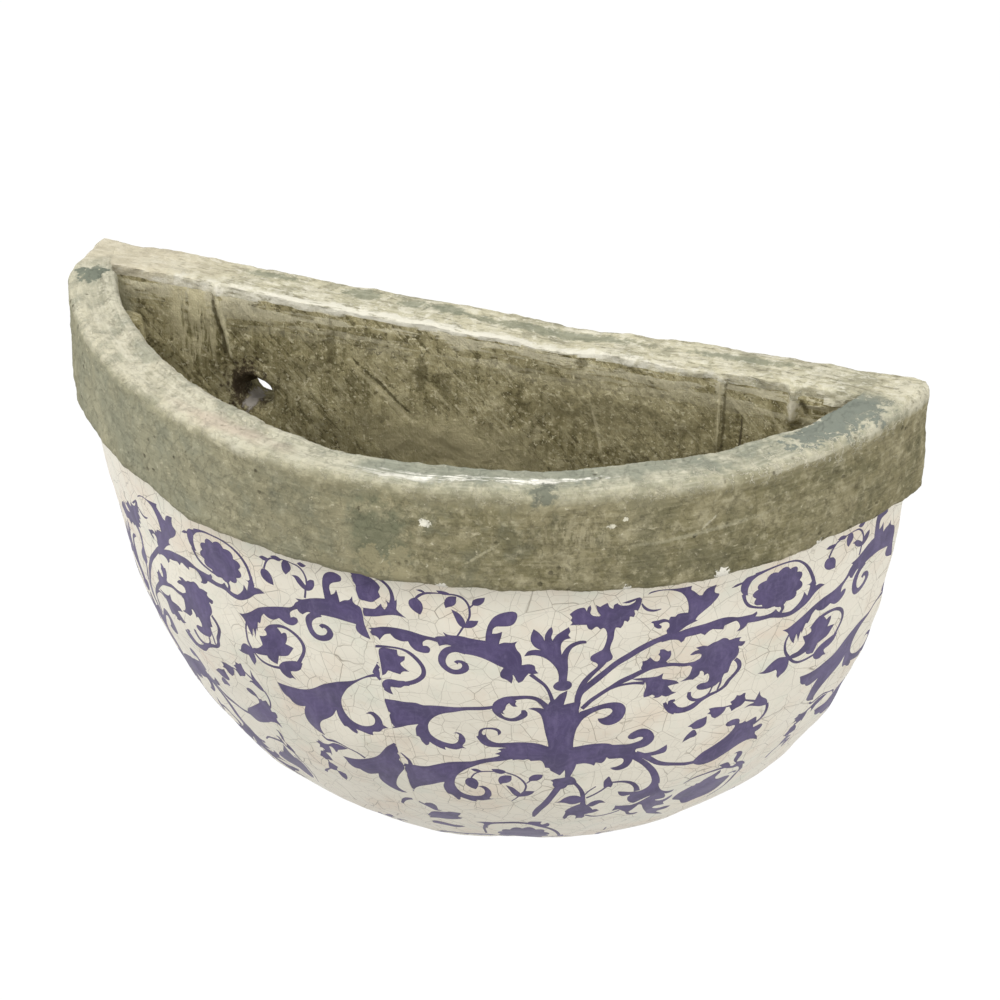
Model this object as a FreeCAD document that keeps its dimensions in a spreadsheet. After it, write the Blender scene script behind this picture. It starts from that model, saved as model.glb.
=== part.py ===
import FreeCAD, Part
import math
import os
import Sketcher

# Half-round wall planter: a moulded bowl closed by a flat back slab, with a cement collar and
# coping round the mouth, a coil of clay luting in the inside joint, and two glazed sheets that
# meet on the front centre line.
# Frame: +X right along the wall, +Y into the wall, +Z up. The origin is midway between the two
# hanging holes, on the back face. Every round piece is turned about one upright axis that stands
# behind the wall plane, and is then sliced off flat.

SIZES = (
    ("planter_width", 380.0, "overall width along the wall, across the collar"),
    ("planter_depth", 148.0, "from the wall to the front of the collar"),
    ("collar_height", 45.6, "height of the cement collar"),
    ("collar_overhang", 8.4, "how far the collar stands out past the glaze"),
    ("collar_edge_round", 4.1, "worn rounding of the collar's top outer edge"),
    ("lip_depth", 16.0, "depth of the collar's lip and of the coping"),
    ("wall_thickness", 9.5, "fired clay wall of the bowl"),
    ("slab_thickness", 22.5, "flat back slab and the coping on it"),
    ("glaze_thickness", 0.8, "glazed sheet with its slip coat"),
    ("seam_gap", 0.6, "open line between the two glazed sheets"),
    ("bowl_drop", 207.7, "from the collar's lower edge to the foot of the turned form"),
    ("side_lean", 2.84, "lean of the side from upright, in degrees, under the collar"),
    ("belly_lean", 20.56, "lean of the side, in degrees, where the belly's tighter arc starts"),
    ("foot_radius", 21.6, "radius at which the belly's arc turns level"),
    ("hole_pitch", 200.0, "between the centres of the hanging holes"),
    ("hole_drop", 49.0, "from the rim's top down to the hanging holes"),
    ("hole_diameter", 15.0, "hanging holes"),
    ("mouth_flare", 2.5, "broken edge round the inner mouth of each hanging hole"),
    ("drain_diameter", 12.0, "drain hole in the bowl"),
    ("drain_setback", 25.0, "from the slab's front face to the drain hole's centre"),
    ("luting_width", 12.0, "clay luting, along the slab and along the bowl"),
    ("luting_land", 3.0, "what the luting's slant leaves of its two sides"),
    ("joint_gap", 0.05, "play between curved faces that meet"),
)

# What follows from the sizes above.
WORKED_OUT = (
    ("collar_radius", "(planter_width ^ 2 / 4 + planter_depth ^ 2) / (2 * planter_depth)"),
    ("axis_setback", "collar_radius - planter_depth"),
    ("glaze_radius", "collar_radius - collar_overhang"),
    ("lean_sine", "sin(side_lean * 1deg)"),
    ("lean_cosine", "cos(side_lean * 1deg)"),
    ("belly_sine", "sin(belly_lean * 1deg)"),
    ("belly_cosine", "cos(belly_lean * 1deg)"),
    ("arc_inset", "glaze_radius - foot_radius"),
    ("arc_solver", "(lean_cosine - belly_cosine) * (1 - belly_sine)"
                   " - (belly_sine - lean_sine) * belly_cosine"),
    ("side_arc", "(arc_inset * (1 - belly_sine) - bowl_drop * belly_cosine) / arc_solver"),
    ("belly_arc", "((lean_cosine - belly_cosine) * bowl_drop"
                  " - (belly_sine - lean_sine) * arc_inset) / arc_solver"),
    ("side_centre_out", "glaze_radius - side_arc * lean_cosine"),
    ("side_centre_up", "side_arc * lean_sine - collar_height"),
    ("belly_centre_up", "belly_arc - collar_height - bowl_drop"),
    ("shell_offset", "glaze_thickness + joint_gap"),
    ("cavity_offset", "shell_offset + wall_thickness"),
    ("luting_back_offset", "cavity_offset + joint_gap"),
    ("luting_face_offset", "luting_back_offset + luting_width"),
    ("mouth_radius", "glaze_radius - cavity_offset * lean_cosine"),
    ("slab_front", "axis_setback + slab_thickness"),
    ("luting_front", "slab_front + luting_width"),
    ("drain_centre", "slab_front + drain_setback"),
    ("stock_size", "planter_width + planter_depth + bowl_drop"),
)

UP = FreeCAD.Vector(0, 0, 1)
NEAR = 0.01  # how close two measured lengths, in mm, must be to count as the same

doc = FreeCAD.newDocument("wall_planter")
sheet = doc.addObject("Spreadsheet::Sheet", "sizes")
for row, (alias, number, note) in enumerate(SIZES, start=1):
    sheet.set(f"A{row}", note)
    sheet.set(f"B{row}", str(number))
    sheet.setAlias(f"B{row}", alias)
for row, (alias, formula) in enumerate(WORKED_OUT, start=len(SIZES) + 1):
    sheet.set(f"A{row}", alias.replace("_", " "))
    sheet.set(f"B{row}", "=" + formula)
    sheet.setAlias(f"B{row}", alias)
doc.recompute()


def size(alias):
    """The number in the sheet's cell of this name."""
    return float(sheet.get(alias))


def place(out, up):
    """A sketch point: distance out from the axis, and height above the rim's top."""
    return FreeCAD.Vector(out, up, 0)


def bind(sketch, index, expression):
    """Ties one constraint of a sketch to an expression on the sheet's cells."""
    sketch.setExpression(f"Constraints[{index}]", expression)


def fix_point(sketch, element, end, across=None, up=None):
    """Holds a sketch point at distances from the origin, each given as (number, expression)."""
    if across:
        bind(sketch, sketch.addConstraint(Sketcher.Constraint(
            "DistanceX", -1, 1, element, end, across[0])), across[1])
    if up:
        bind(sketch, sketch.addConstraint(Sketcher.Constraint(
            "DistanceY", -1, 1, element, end, up[0])), up[1])


def fix_radius(sketch, element, number, expression):
    """Holds the radius of a circle or an arc of a sketch."""
    index = sketch.addConstraint(Sketcher.Constraint("Radius", element, number))
    bind(sketch, index, expression)


def join(sketch, pairs):
    """Makes pairs of sketch points, each (element, end, element, end), coincide."""
    for pair in pairs:
        sketch.addConstraint(Sketcher.Constraint("Coincident", *pair))


def new_body(name):
    """A body whose own Z axis is the turning axis and whose own origin is level with the rim."""
    body = doc.addObject("PartDesign::Body", name)
    body.Label = name
    body.setExpression("Placement.Base.y", "sizes.axis_setback")
    body.setExpression("Placement.Base.z", "sizes.hole_drop")
    return body


def new_sketch(body, name, role):
    """An empty sketch on one of a body's own origin planes."""
    sketch = body.newObject("Sketcher::SketchObject", f"{body.Label}_{name}")
    plane = next(f for f in body.Origin.OriginFeatures if f.Role == role)
    sketch.AttachmentSupport = (plane, [""])
    sketch.MapMode = "FlatFace"
    return sketch


def turn(body, sketch):
    """Turns a profile right round the body's axis."""
    feature = body.newObject("PartDesign::Revolution", f"{body.Label}_turned")
    feature.Profile = sketch
    feature.ReferenceAxis = (sketch, ["V_Axis"])
    feature.Angle = 360
    sketch.Visibility = False
    doc.recompute()
    return feature


def cut_through(body, sketch, name):
    """Pockets a sketch right through a body, both ways, and makes sure that it took something."""
    before = body.Shape.Volume
    pocket = body.newObject("PartDesign::Pocket", f"{body.Label}_{name}")
    pocket.Profile = sketch
    pocket.SideType = "Symmetric"
    pocket.setExpression("Length", "4 * sizes.stock_size")
    sketch.Visibility = False
    doc.recompute()
    if not body.Shape.Volume < before:
        raise RuntimeError(f"{pocket.Name} took nothing off")
    return pocket


def add_block_outline(sketch, left, right, front, back):
    """A closed rectangle. Each side is given as (number, expression)."""
    corners = [place(x[0], y[0]) for x, y in
               ((left, front), (right, front), (right, back), (left, back))]
    for start, end in zip(corners, corners[1:] + corners[:1]):
        sketch.addGeometry(Part.LineSegment(start, end))
    join(sketch, [(side, 2, (side + 1) % 4, 1) for side in range(4)])
    for side, way in enumerate(("Horizontal", "Vertical", "Horizontal", "Vertical")):
        sketch.addConstraint(Sketcher.Constraint(way, side))
    fix_point(sketch, 0, 1, left, front)
    fix_point(sketch, 2, 1, right, back)


def slice_off(body, name, left=None, right=None, front=None, back=None):
    """Cuts away the block between the named sides; a side that isn't named lies past the stock.
    Each is (sign, expression), measured from the turning axis."""
    far = "sizes.stock_size"

    def side(given, sign):
        """The side as (number, expression), or one past the stock."""
        sign, expression = given or (sign, far)
        number = sign * float(sheet.evalExpression(expression.replace("sizes.", "")))
        return number, f"{sign} * ({expression})"

    sketch = new_sketch(body, name, "XY_Plane")
    add_block_outline(sketch, side(left, -1), side(right, 1), side(front, -1), side(back, 1))
    return cut_through(body, sketch, f"{name}_off")


def slice_at_wall(body):
    """Leaves what stands in front of the wall plane."""
    slice_off(body, "behind_wall", front=(-1, "sizes.axis_setback"))


def add_offset_curve(sketch, alias):
    """Adds the bowl's curve at a steady offset under the glazed surface: upright behind the
    collar, then the side's long arc and the belly's tighter one. The offset is a cell's name, or
    empty for the glazed surface itself. Returns the numbers of the line and the two arcs."""
    lean = math.radians(size("side_lean"))
    belly = math.radians(size("belly_lean"))
    offset = size(alias) if alias else 0.0
    told = f"sizes.{alias}" if alias else "0"
    out = size("glaze_radius") - offset * math.cos(lean)
    start_up = offset * math.sin(lean) - size("collar_height")
    line = sketch.addGeometry(Part.LineSegment(
        place(out, -size("lip_depth")), place(out, start_up)))
    side_radius = size("side_arc") - offset
    side_centre = place(size("side_centre_out"), size("side_centre_up"))
    side = sketch.addGeometry(Part.ArcOfCircle(
        Part.Circle(side_centre, UP, side_radius), -belly, -lean))
    belly_radius = size("belly_arc") - offset
    belly_centre = place(size("foot_radius"), size("belly_centre_up"))
    bottom = sketch.addGeometry(Part.ArcOfCircle(
        Part.Circle(belly_centre, UP, belly_radius), -math.pi / 2, -belly))
    sketch.addConstraint(Sketcher.Constraint("Vertical", line))
    join(sketch, [(line, 2, side, 2)])
    sketch.addConstraint(Sketcher.Constraint("Tangent", side, 1, bottom, 2))
    sketch.addConstraint(Sketcher.Constraint("Vertical", bottom, 1, bottom, 3))
    fix_radius(sketch, side, side_radius, f"sizes.side_arc - {told}")
    fix_radius(sketch, bottom, belly_radius, f"sizes.belly_arc - {told}")
    fix_point(sketch, side, 3, (side_centre.x, "sizes.side_centre_out"),
              (side_centre.y, "sizes.side_centre_up"))
    fix_point(sketch, line, 2, up=(start_up, f"{told} * sizes.lean_sine - sizes.collar_height"))
    fix_point(sketch, line, 1, up=(-size("lip_depth"), "-sizes.lip_depth"))
    fix_point(sketch, bottom, 1, across=(size("foot_radius"), "sizes.foot_radius"))
    return line, side, bottom


def add_wall_outline(sketch, outer, inner):
    """A wall's profile, between two curves at steady offsets under the glazed surface."""
    line, _, bottom = add_offset_curve(sketch, outer)
    inner_line, _, inner_bottom = add_offset_curve(sketch, inner)
    geometry = sketch.Geometry
    foot = sketch.addGeometry(Part.LineSegment(
        geometry[bottom].StartPoint, geometry[inner_bottom].StartPoint))
    top = sketch.addGeometry(Part.LineSegment(
        geometry[inner_line].StartPoint, geometry[line].StartPoint))
    join(sketch, [(foot, 1, bottom, 1), (foot, 2, inner_bottom, 1),
                  (top, 1, inner_line, 1), (top, 2, line, 1)])


def add_filled_outline(sketch, outer):
    """The profile inside one such curve, filled in to the axis."""
    line, _, bottom = add_offset_curve(sketch, outer)
    rim_point = sketch.Geometry[line].StartPoint
    foot_point = sketch.Geometry[bottom].StartPoint
    foot = sketch.addGeometry(Part.LineSegment(foot_point, place(0, foot_point.y)))
    axis = sketch.addGeometry(Part.LineSegment(place(0, foot_point.y), place(0, rim_point.y)))
    top = sketch.addGeometry(Part.LineSegment(place(0, rim_point.y), rim_point))
    join(sketch, [(bottom, 1, foot, 1), (foot, 2, axis, 1), (axis, 2, top, 1), (top, 2, line, 1)])
    for element in (foot, top):
        sketch.addConstraint(Sketcher.Constraint("Horizontal", element))
    for end in (1, 2):
        sketch.addConstraint(Sketcher.Constraint("PointOnObject", axis, end, -2))


def turned_wall(name, outer, inner):
    """A body turned from the wall profile between two offsets under the glazed surface."""
    body = new_body(name)
    sketch = new_sketch(body, "profile", "XZ_Plane")
    add_wall_outline(sketch, outer, inner)
    turn(body, sketch)
    return body


def drill_drain(body):
    """The drain hole, straight down through the lowest stretch of the wall."""
    sketch = new_sketch(body, "drain", "XY_Plane")
    radius = size("drain_diameter") / 2
    hole = sketch.addGeometry(Part.Circle(
        place(0, -size("drain_centre")), UP, radius))
    fix_radius(sketch, hole, radius, "sizes.drain_diameter / 2")
    sketch.addConstraint(Sketcher.Constraint("PointOnObject", hole, 3, -2))
    fix_point(sketch, hole, 3, up=(-size("drain_centre"), "-sizes.drain_centre"))
    cut_through(body, sketch, "drain_hole")


def make_bowl_shell():
    """The moulded half bowl, from under the collar's lip down to the foot."""
    body = turned_wall("bowl_shell", "shell_offset", "cavity_offset")
    slice_off(body, "behind_slab", front=(-1, "sizes.slab_front"))
    drill_drain(body)
    return body


def make_back_slab():
    """The flat back, with the bowl's own outline and the two hanging holes."""
    body = new_body("back_slab")
    sketch = new_sketch(body, "profile", "XZ_Plane")
    add_filled_outline(sketch, "shell_offset")
    turn(body, sketch)
    slice_at_wall(body)
    slice_off(body, "before_slab", back=(-1, "sizes.slab_front"))
    holes = new_sketch(body, "holes", "XZ_Plane")
    radius = size("hole_diameter") / 2
    for sign in (-1, 1):
        hole = holes.addGeometry(Part.Circle(
            place(sign * size("hole_pitch") / 2, -size("hole_drop")),
            UP, radius))
        fix_radius(holes, hole, radius, "sizes.hole_diameter / 2")
        fix_point(holes, hole, 3, (sign * size("hole_pitch") / 2, f"{sign} * sizes.hole_pitch / 2"),
                  (-size("hole_drop"), "-sizes.hole_drop"))
    drilled = cut_through(body, holes, "hanging_holes")
    inner_mouths = [
        f"Edge{number}" for number, edge in enumerate(drilled.Shape.Edges, start=1)
        if isinstance(edge.Curve, Part.Circle)
        and abs(edge.Curve.Radius - radius) < NEAR
        and abs(edge.Curve.Center.y + size("slab_front")) < NEAR
    ]
    if len(inner_mouths) != 2:
        raise RuntimeError("the hanging holes have no inner mouths")
    flare = body.newObject("PartDesign::Chamfer", "back_slab_flared_mouths")
    flare.Base = (drilled, inner_mouths)
    flare.setExpression("Size", "sizes.mouth_flare")
    doc.recompute()
    return body


def make_rim_collar():
    """The cement collar: a band round the outside and a lip over the top of the bowl's wall."""
    body = new_body("rim_collar")
    sketch = new_sketch(body, "profile", "XZ_Plane")
    out = size("collar_radius")
    edge = size("collar_edge_round")
    glaze = size("glaze_radius") + size("joint_gap")
    mouth = size("mouth_radius")
    lip = -size("lip_depth")
    foot = -size("collar_height")
    corners = [place(mouth, 0), place(out - edge, 0), place(out, -edge), place(out, foot),
               place(glaze, foot), place(glaze, lip), place(mouth, lip)]
    top = sketch.addGeometry(Part.LineSegment(corners[0], corners[1]))
    corner = sketch.addGeometry(Part.ArcOfCircle(
        Part.Circle(place(out - edge, -edge), UP, edge), 0, math.pi / 2))
    face = sketch.addGeometry(Part.LineSegment(corners[2], corners[3]))
    base = sketch.addGeometry(Part.LineSegment(corners[3], corners[4]))
    inside = sketch.addGeometry(Part.LineSegment(corners[4], corners[5]))
    underside = sketch.addGeometry(Part.LineSegment(corners[5], corners[6]))
    bore = sketch.addGeometry(Part.LineSegment(corners[6], corners[0]))
    join(sketch, [(face, 2, base, 1), (base, 2, inside, 1), (inside, 2, underside, 1),
                  (underside, 2, bore, 1), (bore, 2, top, 1)])
    sketch.addConstraint(Sketcher.Constraint("Tangent", top, 2, corner, 2))
    sketch.addConstraint(Sketcher.Constraint("Tangent", corner, 1, face, 1))
    for element in (base, underside):
        sketch.addConstraint(Sketcher.Constraint("Horizontal", element))
    for element in (face, inside, bore):
        sketch.addConstraint(Sketcher.Constraint("Vertical", element))
    fix_radius(sketch, corner, edge, "sizes.collar_edge_round")
    sketch.addConstraint(Sketcher.Constraint("PointOnObject", top, 1, -1))
    sketch.addConstraint(Sketcher.Constraint("Horizontal", top))
    fix_point(sketch, top, 1, across=(mouth, "sizes.mouth_radius"))
    fix_point(sketch, face, 2, (out, "sizes.collar_radius"), (foot, "-sizes.collar_height"))
    fix_point(sketch, inside, 2, (glaze, "sizes.glaze_radius + sizes.joint_gap"),
              (lip, "-sizes.lip_depth"))
    turn(body, sketch)
    slice_at_wall(body)
    return body


def make_back_coping():
    """The cement coping on top of the back slab, between the two ends of the collar."""
    body = new_body("back_coping")
    sketch = new_sketch(body, "plan", "XY_Plane")
    radius = size("mouth_radius") - size("joint_gap")
    back = -size("axis_setback")
    front = -size("slab_front")
    back_out = math.sqrt(radius ** 2 - back ** 2)
    front_out = math.sqrt(radius ** 2 - front ** 2)
    circle = Part.Circle(place(0, 0), UP, radius)
    back_line = sketch.addGeometry(Part.LineSegment(place(back_out, back), place(-back_out, back)))
    left = sketch.addGeometry(Part.ArcOfCircle(
        circle, math.atan2(back, -back_out), math.atan2(front, -front_out)))
    front_line = sketch.addGeometry(Part.LineSegment(
        place(-front_out, front), place(front_out, front)))
    right = sketch.addGeometry(Part.ArcOfCircle(
        circle, math.atan2(front, front_out), math.atan2(back, back_out)))
    join(sketch, [(back_line, 2, left, 1), (left, 2, front_line, 1), (front_line, 2, right, 1),
                  (right, 2, back_line, 1), (left, 3, -1, 1), (right, 3, -1, 1)])
    for element in (left, right):
        fix_radius(sketch, element, radius, "sizes.mouth_radius - sizes.joint_gap")
    for element, up, alias in ((back_line, back, "axis_setback"), (front_line, front, "slab_front")):
        sketch.addConstraint(Sketcher.Constraint("Horizontal", element))
        fix_point(sketch, element, 1, up=(up, f"-sizes.{alias}"))
    pad = body.newObject("PartDesign::Pad", "back_coping_strip")
    pad.Profile = sketch
    pad.Reversed = True
    pad.setExpression("Length", "sizes.lip_depth")
    sketch.Visibility = False
    doc.recompute()
    return body


def offset_under_glaze(point):
    """How far a point, in a body's own frame, lies under the glazed surface."""
    out = math.hypot(point.x, point.y)
    if point.z > -size("collar_height"):
        return (size("glaze_radius") - out) / size("lean_cosine")
    from_side = (out - size("side_centre_out"), point.z - size("side_centre_up"))
    from_belly = (out - size("foot_radius"), point.z - size("belly_centre_up"))
    if math.atan2(-from_side[1], from_side[0]) < math.radians(size("belly_lean")):
        return size("side_arc") - math.hypot(*from_side)
    return size("belly_arc") - math.hypot(*from_belly)


def make_luting_coil():
    """The coil of clay pressed into the inside joint of slab and bowl, smoothed to a slant."""
    body = turned_wall("luting_coil", "luting_back_offset", "luting_face_offset")
    slice_off(body, "behind_luting", front=(-1, "sizes.slab_front"))
    band = slice_off(body, "before_luting", back=(-1, "sizes.luting_front"))
    face_offset = size("luting_face_offset")
    front = -size("luting_front")
    inner_edges = []
    for number, edge in enumerate(band.Shape.Edges, start=1):
        middle = edge.valueAt((edge.FirstParameter + edge.LastParameter) / 2)
        ends = [vertex.Point for vertex in edge.Vertexes]
        on_front = all(abs(point.y - front) < NEAR for point in [middle, *ends])
        if on_front and abs(offset_under_glaze(middle) - face_offset) < NEAR:
            inner_edges.append(f"Edge{number}")
    if not inner_edges:
        raise RuntimeError("the luting has no edge to slant")
    slant = body.newObject("PartDesign::Chamfer", "luting_coil_slant")
    slant.Base = (band, inner_edges)
    slant.setExpression("Size", "sizes.luting_width - sizes.luting_land")
    doc.recompute()
    return body


def make_glaze_panel(name, side):
    """One of the two glazed sheets: side is -1 for the left and 1 for the right."""
    body = turned_wall(name, "", "glaze_thickness")
    slice_at_wall(body)
    if side > 0:
        slice_off(body, "past_seam", right=(1, "sizes.seam_gap / 2"))
    else:
        slice_off(body, "past_seam", left=(-1, "sizes.seam_gap / 2"))
    drill_drain(body)
    return body


def check(body):
    """Stops the build when a feature failed or a piece isn't one sound solid."""
    for item in [body, *body.Group]:
        if "Invalid" in item.State or "Error" in item.State:
            raise RuntimeError(f"{item.Name} is {item.State}")
    shape = body.Shape
    if shape.isNull() or not shape.isValid() or len(shape.Solids) != 1:
        raise RuntimeError(f"{body.Label} isn't one sound solid")


PIECES = [
    make_bowl_shell(),
    make_back_slab(),
    make_rim_collar(),
    make_back_coping(),
    make_luting_coil(),
    make_glaze_panel("glaze_panel_left", -1),
    make_glaze_panel("glaze_panel_right", 1),
]
doc.recompute()
for item in doc.Objects:
    if "Invalid" in item.State or "Error" in item.State:
        raise RuntimeError(f"{item.Name} is {item.State}")
for piece in PIECES:
    check(piece)

os.makedirs("parts", exist_ok=True)
for piece in PIECES:
    piece.Shape.exportStep(f"parts/{piece.Label}.step")
    box = piece.Shape.optimalBoundingBox()
    print(f"{piece.Label}: {piece.Shape.Volume / 1000:.1f} cm3, x {box.XMin:.1f} {box.XMax:.1f},"
          f" y {box.YMin:.1f} {box.YMax:.1f}, z {box.ZMin:.1f} {box.ZMax:.1f}")
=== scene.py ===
"""A half-round wall planter: a glazed clay bowl with a printed scroll, a flat clay back with two
hanging holes, and a brushed cement collar and coping round its mouth."""

import math

import bmesh
import bpy
import numpy as np
from bpy.props import FloatProperty, FloatVectorProperty, PointerProperty
from mathutils import Matrix, Vector
from mathutils.geometry import delaunay_2d_cdt
from mathutils.kdtree import KDTree


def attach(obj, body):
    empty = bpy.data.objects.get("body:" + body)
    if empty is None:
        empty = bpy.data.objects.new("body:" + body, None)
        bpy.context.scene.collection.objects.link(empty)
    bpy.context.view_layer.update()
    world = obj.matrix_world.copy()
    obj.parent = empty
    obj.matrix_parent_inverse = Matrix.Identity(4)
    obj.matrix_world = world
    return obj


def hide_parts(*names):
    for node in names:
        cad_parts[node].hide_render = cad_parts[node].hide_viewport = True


bl_info = {
    "name": "Half-round wall planter",
    "version": (1, 0, 0),
    "blender": (4, 5, 0),
    "location": "View3D > Sidebar > Planter",
    "description": "Builds the pieces, finishes and studio of a glazed wall planter",
    "category": "Object",
}

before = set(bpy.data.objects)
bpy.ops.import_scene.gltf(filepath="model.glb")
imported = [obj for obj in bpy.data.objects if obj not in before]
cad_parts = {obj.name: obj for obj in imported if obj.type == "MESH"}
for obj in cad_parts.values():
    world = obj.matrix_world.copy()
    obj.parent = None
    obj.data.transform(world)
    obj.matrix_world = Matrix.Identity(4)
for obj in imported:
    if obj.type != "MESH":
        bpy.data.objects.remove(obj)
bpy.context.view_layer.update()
MM = 0.001

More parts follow.
